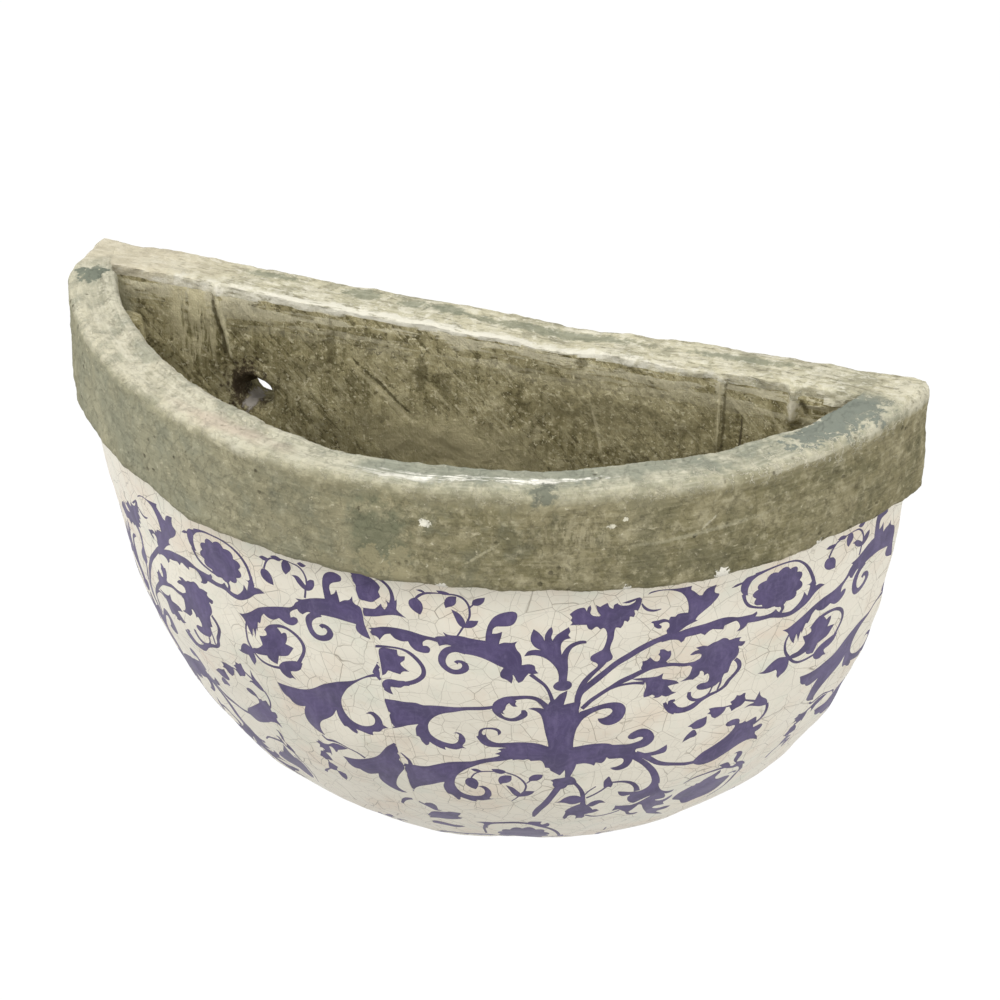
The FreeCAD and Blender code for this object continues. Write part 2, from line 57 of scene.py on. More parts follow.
# The printed scroll, laid out flat in millimetres: across from the seam, then down from the
# collar. Its points were placed one by one. A third number of 1 marks a sharp point, and the
# others are joined by a smooth line.
LEAVES_AND_FLOWERS = (
    # half a peony at the seam, and the leaf under it
    ((-9, 5), (-4, 4.8), (0, 6.2), (3, 8), (4.3, 10), (3.3, 12), (4, 14), (2, 16), (0, 17.5),
     (-4, 17.4), (-8, 18)),
    ((10.8, 13.5, 1), (10.6, 16), (10.3, 18.3), (12, 20), (14, 21.6, 1), (12, 21.4), (9, 21.8),
     (5, 23), (0, 24.5), (-9, 26, 1), (-9, 21, 1), (0, 20.6), (2, 19.5), (4, 17.2, 1), (4.3, 18.6),
     (5.3, 19.8, 1), (6.6, 17.5), (6, 15, 1), (7.6, 16.2), (8.6, 16), (9.5, 15)),
    # the arm, its sprout, its knob and the curl that hangs from it
    ((-6, 31.5, 1), (0, 30.2), (4, 28.9), (9, 28.4), (14, 28.7), (20, 29.5), (25, 29.3, 1),
     (26, 28.3), (29.3, 27.3, 1), (28.4, 25.2, 1), (30.5, 26.2), (35, 26), (40, 26.8),
     (45.4, 27.6, 1), (45.8, 24), (47, 19.8), (49.5, 16), (53, 13.7), (57, 12.9), (58.8, 14),
     (58.9, 16), (57.8, 18.6), (56, 19.9), (53, 20.2), (50.5, 20.3), (49, 21.6), (48.4, 24, 1),
     (50.5, 23.9), (52.7, 23, 1), (52.1, 25.5), (51.2, 28), (50.8, 29.5, 1), (53, 28.9), (56, 29.1),
     (58.6, 28.1, 1), (57.4, 30), (58, 32.5), (59.6, 35), (60, 38), (59.8, 39.8, 1), (63, 39.6),
     (65.3, 40.8), (65.6, 42.8), (66.9, 44.7, 1), (64.6, 44.9), (62.7, 44.3, 1), (61.3, 46),
     (60, 48.2), (58.4, 49.2, 1), (57.4, 47.8), (56.7, 45.8), (56, 44.6, 1), (56, 47),
     (55.6, 49.6, 1), (53.6, 47.8), (51.3, 46.5), (50.9, 44), (52.4, 41.3, 1), (50, 40.2),
     (47.5, 38.6), (44, 36.6), (40, 35.2), (36, 34.8), (33, 32.6, 1), (30, 31.9), (28.4, 32.4),
     (26.6, 33.4, 1), (25.9, 31.5, 1), (22.5, 31.2), (20.3, 33), (20.2, 35, 1), (21.9, 34.6),
     (23, 35.8), (22.4, 37.9), (20, 38.7), (17, 38.4), (15, 36.6), (13.9, 34.3, 1), (11.5, 34.9),
     (8.8, 34.1), (6.9, 31.9, 1), (4.6, 32.8), (3.2, 34.5), (1.9, 36.4, 1), (0.6, 34.6),
     (-6, 34, 1)),
    # the sprig over the arm
    ((31.9, 14.4, 1), (34.9, 15.9), (36.6, 18), (37.6, 20.2, 1), (39, 18.6), (41, 18.2),
     (43, 17.9, 1), (42.4, 19.8), (40.5, 21.8), (38, 22.3), (36, 22), (34.3, 20.4), (33, 17.5)),
    ((19, 10.5, 1), (21, 12.6), (21.4, 15), (20.6, 17.2), (19.9, 18.4, 1), (17.6, 17), (15.9, 15),
     (15.8, 12.8), (17.2, 11.3)),
    ((18.7, 7.2, 1), (20.5, 6.7), (22, 7.4), (22.8, 8.3, 1), (21, 7.9)),
    ((26.4, 6.4, 1), (28.8, 6.4), (31, 7), (32, 8, 1), (29, 8.1), (27.3, 7.5)),
    ((34.4, 8.3, 1), (34.1, 11.5), (32.5, 13), (31, 13.5), (29.7, 14.1, 1), (29.3, 11.8),
     (30.2, 9.4), (32, 8.4)),
    ((46, 7.1, 1), (45.6, 9), (43.8, 10.7), (41.8, 11), (40.6, 10.9, 1), (41, 8.9), (43, 7.6)),
    # the iris on its forked stem, with the ball under it
    ((65.2, 21.5, 1), (67, 23), (68.8, 25.6), (69.3, 27.4, 1), (69.6, 24.4), (71.2, 21.4),
     (72.5, 20.2, 1), (72.8, 22.8), (72, 25.5), (72.4, 27.3, 1), (73.9, 24.8), (76.3, 22.9),
     (79.4, 21, 1), (79.8, 23.6), (78.9, 25), (79.8, 26.8, 1), (77.4, 27.3), (76, 29), (75.7, 31.5),
     (76.3, 35, 1), (77.6, 31.9), (80, 29.5), (83.5, 28.5), (86, 29.1), (86.3, 30.5, 1),
     (83.7, 30.4), (81, 31.5), (79.6, 34), (79.2, 38), (79.6, 44), (79.4, 50.5, 1), (75.8, 50.5, 1),
     (75.7, 46.5), (74.6, 42.8), (72.4, 39.4), (69.3, 36.6), (65.8, 35.4), (61, 35.8, 1),
     (62.8, 33.2), (65.8, 32.2), (67.8, 32.3, 1), (65.4, 30.8), (63.9, 28), (64, 25)),
    ((74.9, 51), (77.6, 50), (80.6, 51), (81.5, 53), (80.5, 55.2), (78, 56.1), (75, 55.3),
     (73.6, 53.2)),
    # the carnation, its ball and the top of its stem
    ((79.8, 14.6, 1), (81.3, 13), (83.5, 11.9), (85.7, 11.8), (86.6, 13.6, 1), (87.2, 11.8),
     (88.1, 11.1, 1), (88.5, 12.8), (88.1, 14.6), (89.2, 16.3), (92, 16.8), (91, 14.5),
     (90.2, 11.2, 1), (91.9, 12.4), (92.7, 11.8), (94.9, 10.5, 1), (95.6, 12.6), (97, 13.4, 1),
     (97.4, 11.6), (98.7, 10.7, 1), (100, 11.9), (103, 12.3), (105.2, 11.3), (106, 10.2, 1),
     (103, 11.2), (100.4, 10.8, 1), (103, 10), (105.6, 9.3), (107.4, 8.9), (108.4, 10),
     (107.9, 13), (107, 15.8, 1), (105.5, 15.3), (105.9, 17.4), (105.4, 19.1, 1), (103.9, 18.6),
     (103.8, 20.2), (103, 21.6, 1), (101.8, 20.8), (101.2, 23), (100.2, 24.6, 1), (98.4, 24),
     (97.7, 26), (97.3, 29.5), (96.4, 33), (96.3, 35.2, 1), (96.9, 37.5), (97.6, 40), (97, 41.8),
     (95, 42.8, 1), (93, 45.5), (90, 49), (87.5, 52.5), (85.5, 57), (84.6, 62, 1), (83, 62, 1),
     (83.4, 57), (85, 52), (88, 48), (91, 44.6), (91.3, 43.4, 1), (90.4, 42), (88.6, 40.7),
     (88.6, 38), (91, 36), (93.2, 34.6), (94.2, 31.5), (94.7, 27.5), (94.2, 24.5), (93, 23.4),
     (91.8, 24, 1), (90.3, 22.3), (88.3, 23.6, 1), (86.9, 22.6), (86.4, 20.6, 1), (83.5, 20.3),
     (79.9, 20.2, 1), (80.9, 18.8), (80.2, 17.6), (80.9, 16.2)),
    # the acanthus and the long band that runs on to the right
    ((119.2, 30, 1), (118.5, 28), (119.7, 26.5), (119.6, 24.6), (118.8, 23.9), (117, 23.8),
     (115.6, 24.6), (116.6, 25.5), (116.4, 26.6), (115, 26.6), (113.6, 25.2), (113.4, 23.8),
     (112.4, 23, 1), (113, 22.5), (115, 22.4), (117.5, 22), (119.5, 23, 1), (120.2, 21.3),
     (122, 21.5), (123, 20.2), (125, 19.9), (127.4, 20, 1), (127.6, 17), (127, 13), (125.5, 9.8),
     (123.6, 8.2), (120, 7), (116, 6.6), (112.3, 7.3), (110.7, 8, 1), (111.4, 7), (113.5, 6.3),
     (117, 6.1), (121, 6.5), (124.5, 6.4), (129.3, 6.2, 1), (128.9, 8), (130.5, 9.6), (132.5, 12.2),
     (133.8, 12.5, 1), (134.6, 10.8), (136.5, 9), (140.5, 8.4, 1), (139.7, 10.2), (139.8, 12.5),
     (141.8, 14), (141, 16), (139.6, 17.6), (137.5, 19.3), (134.5, 21), (132.3, 22.6),
     (131.3, 24.4, 1), (132.4, 25.2, 1), (130.5, 25.8), (127, 27.5), (124, 29.8), (121, 31.5)),
    ((117, 32, 1), (119, 30.5), (123, 29.8), (128, 28.6), (134, 28), (140, 27.7), (144, 27.8),
     (148, 28.7), (151, 29.9), (155, 30.9), (158.5, 31.4), (160.4, 30.5, 1), (160.8, 31.8),
     (160, 33, 1), (163, 33.7), (167, 33.4), (169.6, 31.6, 1), (171, 33.4), (173.5, 34.7),
     (177, 35.1), (181, 34.4, 1), (181, 36.6, 1), (176, 37.5), (172, 37), (168, 36), (162, 36),
     (158, 35.4), (156.5, 35.1, 1), (155.5, 36.5), (153.5, 37.6), (151, 37.7, 1), (152.5, 36),
     (152.2, 34), (151, 32), (149.5, 31.4), (145, 32, 1), (144.4, 33.8, 1), (142.5, 33),
     (139.5, 31.7, 1), (138, 32.2), (137.2, 33), (136.3, 34.1, 1), (134.6, 32.7, 1), (131.5, 33),
     (128, 33.2), (127.4, 34.8), (126, 35.8, 1), (124.5, 34), (121, 33.3), (117, 34.2, 1)),
    # the leaves round the flower in the right ring
    ((146.6, 12.9, 1), (149, 11.3), (151, 11.2), (153, 9.2), (156, 8.7), (158.2, 8, 1), (161, 8.6),
     (158, 10), (155.5, 12), (154.2, 15), (154, 18), (154.5, 20.4, 1), (152.6, 19.6), (151, 17),
     (150.6, 14), (150.8, 12.4), (149, 12.9)),
    ((188.9, 21.2, 1), (189.6, 24), (190, 26.6, 1), (192.5, 26.4), (195.2, 27.8, 1), (192, 29.2),
     (189.5, 30.8), (186, 34.3), (182, 36.6), (178, 37.6), (174, 37.4, 1), (177, 35.6), (180, 33.6),
     (182.4, 31), (183, 29.2), (183.4, 27.4, 1), (184.3, 28.9), (185.3, 30.2, 1), (185.9, 28),
     (186.4, 25.2), (184.2, 24.4, 1), (186.6, 24.2)),
    # the chrysanthemum and the leaves on its stem
    ((130.6, 43.6, 1), (132.6, 42.2), (134.6, 41.9, 1), (133, 40.3, 1), (136.2, 40.3), (138, 41.2),
     (140.2, 40.2), (142.5, 40), (145.2, 39.2), (147.2, 40.2), (148.2, 41.4), (150.5, 41.2),
     (153.9, 41.7, 1), (153, 43.4), (154.6, 44.4), (156.4, 44.9), (155.9, 46.4), (154.7, 47.2, 1),
     (153.2, 46.8), (153.9, 49), (153.9, 51.5), (152.9, 53.4), (151.7, 54.6), (151.2, 57.5),
     (151, 60.5), (149.5, 60.8), (148.9, 64), (147, 66.6), (144.5, 67.4), (141.5, 67.6),
     (138.5, 66.6), (137.4, 64.6), (139, 63.4), (142.2, 63.4), (142.7, 61), (141.6, 58.4),
     (139.9, 59.3, 1), (139.4, 57), (138, 55.6), (137.3, 55.8, 1), (137.2, 58), (134.6, 60.1, 1),
     (132.5, 59.6), (128, 59.3, 1), (130.5, 58.2), (132, 56.5), (132.7, 53.5), (132.9, 51.5),
     (131.8, 50.4), (134, 48.4), (136, 47.6), (136, 45.4), (134.2, 44.3), (132, 44.2)),
    ((110, 48.6), (110.4, 46), (110.2, 44.3, 1), (112, 43.8), (113.3, 42.2, 1), (114.4, 43.8),
     (115.6, 45), (117, 44.8), (117.3, 42.5), (116.4, 41.3, 1), (117, 40), (116.9, 38.6),
     (118.4, 38.4), (119.6, 39.3), (120.4, 40), (121.6, 39.6, 1), (122, 42), (121.3, 44.3),
     (120.2, 45.8), (121.2, 47), (119, 48.5), (114, 49.2)),
    ((106, 53.2, 1), (110, 53.6), (114, 54.3), (117.5, 54.3), (119.8, 52.8, 1), (119.6, 55),
     (120, 56.4), (123, 57), (126, 58), (128, 60, 1), (124.5, 60.5), (123, 61, 1), (124.5, 63),
     (126, 64.8), (128, 65.5, 1), (125.5, 66.6), (123.5, 67.2), (121.5, 66.2, 1), (120, 67.1),
     (117.2, 66.8, 1), (118.3, 66), (116.8, 64.7, 1), (114.8, 65.3), (113, 65.4, 1), (112.6, 63),
     (113.1, 60), (112.6, 57.5), (111.3, 55.8), (108.5, 54.6)),
    # the vase, and the curl that leaves it on the right
    ((63.8, 65.2, 1), (66, 64.5), (69, 64.8), (71.4, 66, 1), (72.2, 63), (73.3, 60.6, 1),
     (75, 60.4), (76.6, 58), (79.8, 56, 1), (79.6, 59), (78.7, 63.9, 1), (80.6, 63.5),
     (82.6, 63.2, 1), (85.5, 63.5, 1), (84.8, 68.8), (86.4, 72.8, 1), (85, 76.5), (84.3, 81),
     (84.1, 86), (84.5, 91, 1), (74, 91, 1), (73.4, 86.5), (71.8, 80.5), (70.4, 74), (69, 69),
     (66.5, 66.3)),
    ((84, 70, 1), (85.5, 68.6), (88, 67.7), (92, 66.1), (96, 64.9), (100, 64.8), (103.3, 66),
     (105.3, 68.5), (105.7, 71.5), (104.4, 75), (101.8, 77.3), (98.6, 78.1), (95.8, 77.2),
     (93.8, 75.2), (93.2, 73.4, 1), (95.8, 73.2), (98.4, 71.8), (99.5, 70), (98.4, 68.4),
     (95.5, 68.1), (92, 69.3), (89, 71.2), (86.5, 73.5), (84.6, 78, 1)),
    ((55, 61.5), (56, 60), (58.8, 60), (58.3, 62), (59.4, 63.6, 1), (57.6, 63.8), (56.4, 62.6),
     (55.8, 61.8, 1), (54.8, 63), (54.3, 66), (53.4, 67.4), (54.3, 69, 1), (52.8, 68.4),
     (52.3, 66)),
    # the wings under the vase
    ((84.5, 90, 1), (74.3, 89.3, 1), (70, 87.6), (65, 86.7), (60, 86.9), (56, 87.8), (52, 88.3),
     (49, 87.4), (47, 85.8), (46.2, 84), (46, 82.6, 1), (44.9, 83.6), (44, 82.2), (44.8, 80),
     (46.6, 79.1), (49, 79.2), (50.9, 80.4), (51.3, 82), (51.6, 83.4, 1), (52.7, 81.7),
     (52.3, 79.8), (50.5, 78.2), (48, 77.8), (45.2, 78.4), (43.2, 80.2), (42.4, 82.6),
     (42.3, 84.6), (41.4, 85.4, 1), (42.4, 87.3), (44, 89.4), (47, 90.8), (51, 91), (55.5, 91.2, 1),
     (53, 91.6), (51.2, 92.5, 1), (52.9, 93.3), (50, 95.3, 1), (52.3, 96), (51, 97.4), (58, 98, 1),
     (58.5, 99.4, 1), (60.6, 98.7), (63, 98.9), (65.4, 98.2), (66.3, 99.4, 1), (68.5, 99),
     (70.5, 98.8), (71.6, 100.3), (72.4, 103.4, 1), (74.4, 103.6), (75, 105.2, 1), (77, 106.6),
     (79.6, 108.5, 1), (81.4, 104.6, 1), (81.8, 107), (82.2, 111, 1), (84.6, 111, 1), (85, 108),
     (86, 104), (86.6, 101.3, 1), (90, 101.2), (93, 102.3), (95, 103.9, 1), (95.6, 101.9, 1),
     (98.2, 103.1, 1), (99.6, 102), (100.3, 100, 1), (101.5, 101.2), (103.5, 101.6), (107.3, 101.9),
     (108.4, 103.2), (108.2, 105.2), (106, 106.9), (102.8, 107.4, 1), (105, 109.2), (108, 109.3),
     (110.8, 107.8), (112.3, 105.2), (112.6, 103.2, 1), (117.5, 102.6), (120.8, 102.4),
     (124.5, 101.8), (127.8, 100.8), (128.2, 98.4), (127.4, 95.8, 1), (125.5, 97.3), (122.5, 99.2),
     (118.5, 99.9), (115, 99.6), (112.8, 98.4), (113, 96.6), (115.5, 96), (118.5, 94.5),
     (120.6, 91.5), (120.5, 88.5), (118.5, 85.4), (115.5, 83.8), (112, 83.9), (109, 85.3),
     (107.8, 87.1), (108.8, 88.7), (111, 89.2), (113.5, 88.5), (115.3, 89), (114.8, 90.4),
     (112, 91.6), (108.5, 92.4), (105, 92), (101.3, 91.8), (100, 90.9), (96, 90), (90, 89.6)),
    # the upper trumpet with its leafy curl
    ((-2, 67.8, 1), (6, 68), (10, 68.4), (15, 67.6), (18, 68), (22, 67.2), (27, 66.8), (33, 66.6),
     (38, 65.9), (43, 64.8), (49.5, 63.6, 1), (49, 65.5), (45, 66.6), (40, 67.6), (36, 68.6),
     (31, 70.3), (27, 71.8), (23.5, 74.5), (21, 78), (20.2, 81.5), (21, 85.5), (23.5, 88.5),
     (27, 90.3), (31, 90.7), (33.2, 89), (33.6, 86.5), (33.8, 84.8), (33, 84.2), (31.4, 84.2, 1),
     (33, 83.4), (35, 84.5), (36.4, 87), (36.4, 89.5), (35, 91.8), (36.8, 93.5, 1), (34.8, 93.2),
     (32, 94.5), (28.5, 94.2), (26.9, 93.6), (27.2, 95.6, 1), (24.5, 94.5), (22, 92.8),
     (20.2, 91, 1), (19.6, 93), (18.3, 93.8, 1), (16.5, 91.5), (15.4, 88.6), (14, 88.3, 1),
     (14, 85), (14.4, 82.5), (15.6, 80.3, 1), (11, 82), (7, 83.5), (-2, 85.6, 1)),
    # the leaf in the left ring, and the one that closes the ring
    ((0.5, 44, 1), (1, 41.5), (3, 40), (8.9, 39.7, 1), (9.2, 42.6), (12, 42.3, 1), (11.6, 44.3),
     (9.5, 46.5), (11, 48.5), (13, 50, 1), (10.2, 50.5), (8.9, 52.3, 1), (5.5, 52), (3.6, 51.8),
     (2.6, 53.6), (1, 55, 1), (0.7, 51), (0.6, 47)),
    ((1, 61), (1, 58.6), (2.5, 56.6), (5, 55.9), (8, 56), (11, 55.6), (13, 57.7, 1), (10.5, 58.5),
     (8.8, 60), (6, 60.3), (4.4, 60.3), (4.6, 62.5), (5.4, 64.7, 1), (3.2, 64), (1.3, 62.6)),
    # the lower trumpet with its leafy curl
    ((-2, 109.2, 1), (10, 109.1), (16, 108.4), (22, 106.2), (28, 104), (35, 102.4), (40, 101.6),
     (45, 99.6), (50, 97.4), (54, 95.6, 1), (60, 95, 1), (60, 98, 1), (54, 99.8), (49, 101),
     (44, 103.2), (40, 105.8), (36, 108.8), (32.4, 112), (30.6, 115.5), (30, 119), (31, 122.5),
     (33.5, 125.2), (37, 126.8), (40.5, 127), (43.5, 125.8), (45.2, 123.6), (45.2, 121.4),
     (43.8, 119.8), (42, 119.2, 1), (44.5, 118.7), (46.6, 119.8), (48.3, 122), (48.5, 125),
     (47.2, 127.7), (49.8, 128, 1), (47, 129), (43.5, 130.4), (40.6, 130.5), (40.3, 132, 1),
     (38, 131.8), (35, 130.6), (32, 129, 1), (31.4, 131.3), (30.2, 131.8, 1), (29, 130),
     (27.2, 128), (25, 127.5, 1), (23.9, 124.5), (23.7, 121.5), (24.6, 118.4, 1), (22.3, 119.6),
     (18, 122.6), (13, 125.3), (9.3, 127.5), (7, 130), (6.2, 133), (5.9, 137, 1), (-2, 137, 1)),
    # the second sprig, over the lower trumpet
    ((36, 115.6), (38, 113.7), (40.8, 113.9), (42.6, 116.2), (42.3, 119), (40.9, 121.4, 1),
     (38.5, 120.4), (36.2, 118.4)),
    ((39.2, 107.4, 1), (42, 107), (44.6, 108.4, 1), (43.6, 109.3), (41, 109)),
    ((48.8, 106.2, 1), (52, 106), (54.8, 107), (55.5, 108.3, 1), (53.6, 109.5), (51.2, 109),
     (49.6, 107.8)),
    ((58, 110.4, 1), (58, 113.5), (56.4, 115.4), (54, 116.2), (52.7, 117, 1), (51.8, 114.4),
     (52.6, 111.7), (54.8, 110.4)),
    ((72, 108.5, 1), (71.6, 111), (69.5, 113), (67.3, 113.3), (65.8, 114, 1), (65.6, 111.5),
     (67.3, 109.3), (69.8, 108.4)),
    ((55.4, 117.5, 1), (58.5, 118.6), (60.6, 121), (62.4, 123.4, 1), (63.5, 121.8), (66, 121.3),
     (68.9, 121.3, 1), (67.9, 123.5), (65.8, 125.3), (63, 126), (60.6, 126), (58.6, 124),
     (57.2, 121)),
    # the knot on the foot stalk, and the leaves beside it
    ((76, 113.1, 1), (78, 111.4), (80.5, 110.8), (82.5, 110), (84.6, 109.5), (86.8, 111.5),
     (87.8, 114), (88, 116.5), (86, 117), (84, 117.2), (83, 119), (80.5, 120.2), (78.6, 119.3),
     (77.2, 116.6), (77.2, 114.2)),
    ((78.2, 131.2, 1), (80.6, 130.2), (82.6, 127.6), (85.5, 125.5), (88.5, 125.4), (91, 127),
     (91.5, 130), (89.5, 132), (86.5, 132.8), (83.5, 131.6), (81, 131.3)),
    ((94.7, 134.5, 1), (96.3, 132.4), (99, 131.5), (102, 132.3), (104.6, 135.3, 1), (101.5, 135),
     (99.5, 136.3), (97.3, 137.3), (95.5, 136)),
    ((91.5, 132.3, 1), (93.5, 133), (95.6, 136), (97.5, 139.5), (98.2, 141, 1), (100, 141),
     (102, 142.8, 1), (99.5, 144), (96, 144.6), (94.5, 145.6), (94.8, 147.5), (93.5, 149.2, 1),
     (91, 148.6), (89.8, 149.5, 1), (90, 146), (88, 144.8), (86, 145.6), (85.2, 148),
     (84.2, 149.3, 1), (83.2, 147.5), (84, 144.5), (84.6, 142), (84.2, 140.3, 1), (85.4, 138),
     (87.2, 135.8), (90, 133.2)),
    ((102, 114.5), (103, 113.2), (103.8, 114.5), (104.6, 116.5), (105.5, 118.8), (104.8, 121.9, 1),
     (103.2, 120.9), (102, 122, 1), (101, 120.5), (100.8, 118), (101, 116.2)),
    # the big leaves where the second stalk ends
    ((109.3, 126.3, 1), (113, 127), (116, 127.8), (120.5, 127.6), (124, 125), (125.5, 120.5, 1),
     (129, 120, 1), (129.5, 124), (131, 127.5), (133, 130.5), (136, 132.7), (138.5, 133.3),
     (140.3, 133, 1), (139.5, 135), (136.8, 135.7), (135.3, 134.9, 1), (136.5, 137.5), (137.3, 140),
     (137.2, 141.5, 1), (134.8, 141.3), (132.3, 141), (134, 142.5), (137, 143.8), (139, 143.3),
     (140.5, 141.5), (141.5, 140, 1), (142.2, 142.8), (141.2, 146), (139.6, 147.3), (140.5, 149.5),
     (142, 151.5, 1), (139.5, 150.8), (136, 149.5), (134, 150), (136, 152.5), (140, 154.8),
     (144, 155.2), (147.5, 156.5, 1), (145.5, 158.5), (142, 159), (140.5, 160), (143, 162.8),
     (146.5, 165.8, 1), (142, 164.6), (138, 162), (134.5, 159), (132, 155), (129.5, 151),
     (127.3, 147), (125.8, 143.4), (124, 142.3), (122.8, 144.5), (121, 147.5), (120, 149.5),
     (122, 151.6), (125, 151.5), (126.3, 152.5, 1), (124.5, 154), (121, 153.7), (119.2, 152),
     (117.8, 149), (116, 147.5), (113, 145.5), (110.3, 146), (109.4, 145.4, 1), (110.3, 143.5),
     (110.5, 140.3, 1), (113, 141.4), (117, 141.6), (120, 141.5), (123.5, 139), (126.5, 135.5),
     (127.7, 133.6, 1), (125.5, 135), (122.5, 138), (120.3, 139.8, 1), (117.8, 138.5), (116, 136),
     (115.5, 133), (116.5, 131), (113, 131.5), (110.7, 129.8)),
    # the chain of ivy leaves over the lily
    ((155.7, 78.2, 1), (157.8, 77.2), (158.4, 75.2, 1), (160.2, 76), (161.8, 75.1, 1),
     (162.8, 75.2), (163, 77.5), (163.8, 79.3, 1), (163.5, 81), (162, 82.6), (159.8, 83),
     (157.6, 84, 1), (156.9, 82.4), (156, 80.9), (156.9, 79.8)),
    ((146, 79.9, 1), (149, 79.7), (152.5, 80), (154.3, 80.4, 1), (154, 82.6), (152.3, 85),
     (150.3, 86.3, 1), (148.3, 84.9), (147.6, 83.4), (145.6, 82.8, 1), (147, 81.6)),
    ((136.8, 87.3, 1), (139, 86), (141, 84.9), (144, 84.6), (145.9, 84, 1), (146.2, 86),
     (146.5, 88.5), (145, 90.3), (142, 90.6), (139.8, 89.8), (138.9, 88.4)),
    ((135.7, 97, 1), (136.5, 94), (138.4, 91.8), (140.3, 90.5), (141.8, 91.8), (142.8, 94.2, 1),
     (141.5, 95.3), (139.5, 95.4)),
    ((170.3, 76.3, 1), (171, 79), (172.6, 81.4), (175, 83.6), (177, 86.2), (177.9, 89, 1),
     (174, 88.3), (170.5, 86.6), (167.5, 85.3), (164.4, 85.5, 1), (166.5, 84.2), (169, 83.8, 1),
     (169.4, 80.5)),
    # the lily
    ((143, 112.2, 1), (145, 109.4), (147.5, 107), (151, 105), (155, 102.6), (159, 100.2),
     (161.5, 98), (162.4, 95.8), (161, 94.6), (158.8, 94.2), (156.7, 92.6), (157.2, 91),
     (159.5, 90.2), (162.3, 91), (164, 92.8), (164.4, 95.2, 1), (166, 95.6), (167.6, 94.8, 1),
     (168.4, 96), (169.8, 95.8, 1), (172, 95.2), (174, 94.8), (174.8, 97), (175.3, 98.5, 1),
     (174, 99.8), (174.4, 102, 1), (176.5, 101.8), (179, 101.5), (180.2, 103), (179, 105.3),
     (176.6, 106.4, 1), (176.9, 108.2), (178.6, 110), (179.5, 112.6, 1), (177, 111.2),
     (174, 110.3), (170, 110.2), (165, 110.9), (160, 112.5), (155, 114.5), (150.5, 115.7),
     (147.5, 115.4), (145, 113.8)),
    # the lotus in the lower ring on the right, and the leaves on the ring
    ((144.3, 146), (145.5, 142), (148, 139.5), (150.3, 137.8), (151.5, 136.6, 1), (153, 137.2),
     (153.5, 134.8, 1), (155.3, 135.4), (157, 133), (159.5, 130), (162, 127.5), (163.5, 126.3, 1),
     (164.4, 129), (164, 133), (165, 136), (167, 137.3), (170.5, 136.8), (174, 138.3),
     (176.3, 141.5), (176, 146), (174, 150.5), (171, 154), (167, 156), (162, 156.8), (157.5, 157.4),
     (153.8, 156.3), (151.5, 152.8), (148, 150.5), (145.4, 148.6)),
    ((160.6, 121.2, 1), (163, 121), (166, 121.6), (167.7, 124), (168.8, 126.2, 1), (170.6, 127),
     (172, 125.8), (170.6, 124), (169.3, 122), (169.6, 119), (169.3, 117), (167, 116, 1),
     (170, 115.9), (172.6, 117.5), (173.4, 120), (172.4, 122.5), (172, 124.4), (175, 125.6),
     (178, 128), (180, 131, 1), (176, 130.5), (172, 129.6), (169, 128.3), (165, 125.6),
     (162.5, 123)),
    # the leaf left of the lotus ring
    ((166.8, 65.7, 1), (169.5, 65.4), (171.5, 63), (174, 60.9), (176.5, 60.1), (179, 60.6),
     (181.5, 61.5), (182, 66), (181, 69), (179.2, 70.5), (178.3, 72, 1), (177, 70), (176.6, 67.5),
     (176, 66.3, 1), (173, 66.7), (170, 66.7)),
    # the second arm
    ((175.8, 44.6, 1), (179, 44.4), (185, 41.8), (190, 38), (195, 35.5), (201, 33.4), (207, 31.4),
     (209.3, 29.6, 1), (210.5, 27.8), (212.2, 26.4, 1), (210.8, 25.3, 1), (214, 24.8), (218, 22.8),
     (222, 21), (225.4, 20, 1), (225, 16), (225, 12), (225.9, 8.6), (228.2, 6.7), (230.8, 6.4),
     (233.3, 7.7), (233.4, 9.8), (231, 10.9), (229, 11.9), (228.2, 14), (228.7, 17.2, 1),
     (230.3, 16.2), (231.2, 14.2, 1), (231.8, 16.5), (232.5, 20, 1), (234.5, 18.7), (236.8, 18.1),
     (238.2, 16, 1), (238.4, 18.4), (239.4, 19.7, 1), (241.4, 20.8), (242.3, 24), (242.9, 30),
     (244.2, 36.9, 1), (241, 36), (239, 34.5), (238.4, 32.3), (239, 30.1, 1), (235, 29.6),
     (230, 29), (225, 29.5), (221, 30.6), (218, 31), (216, 31), (213.2, 33.4, 1), (211.6, 32.6),
     (210.8, 31.2, 1), (208, 33), (206.4, 35), (206.4, 37.6, 1), (208, 36.7), (209.7, 37.4),
     (209.3, 39.8), (206.8, 41.8), (203.5, 41.9), (200.4, 40.2, 1), (197, 42.1), (194.3, 41.6),
     (192.7, 40.3, 1), (191.2, 42.2), (190.4, 45), (189.7, 46.6, 1), (188.7, 46.2), (187.4, 51, 1),
     (186.9, 49.8), (185.8, 54.7, 1), (184.6, 50.4), (183.4, 54.9, 1), (181.4, 52), (180, 49),
     (178.4, 46.6)),
    # the sprig over the second arm
    ((209.6, 14.1, 1), (212.5, 13.9), (214.5, 15.3), (216.2, 17, 1), (217.2, 15), (219, 13.3),
     (220.8, 12.9, 1), (220.9, 15), (219.5, 17.8), (217, 19.3), (214.6, 18.8), (212.3, 17),
     (211, 15)),
    ((196, 15.4), (198.4, 16), (200, 18.4), (200.3, 22.2, 1), (197, 21.8), (194.5, 20),
     (193.8, 17.8), (194.6, 16)),
    ((193.5, 10.5, 1), (195, 9.4), (197.5, 9.4), (199, 9.6, 1), (198, 11), (195.5, 11.3)),
    ((199.5, 8, 1), (202, 7.1), (205.4, 8, 1), (204, 9.1), (201.5, 8.9)),
    ((207.5, 7.6), (209.3, 9), (209.8, 11.3), (208.3, 13.4), (207.2, 14.6, 1), (205.8, 12.8),
     (205.2, 9.8), (206, 8.2)),
    ((213, 7.4, 1), (214.6, 6.3), (217.4, 7, 1), (216.6, 8), (215, 8.6)),
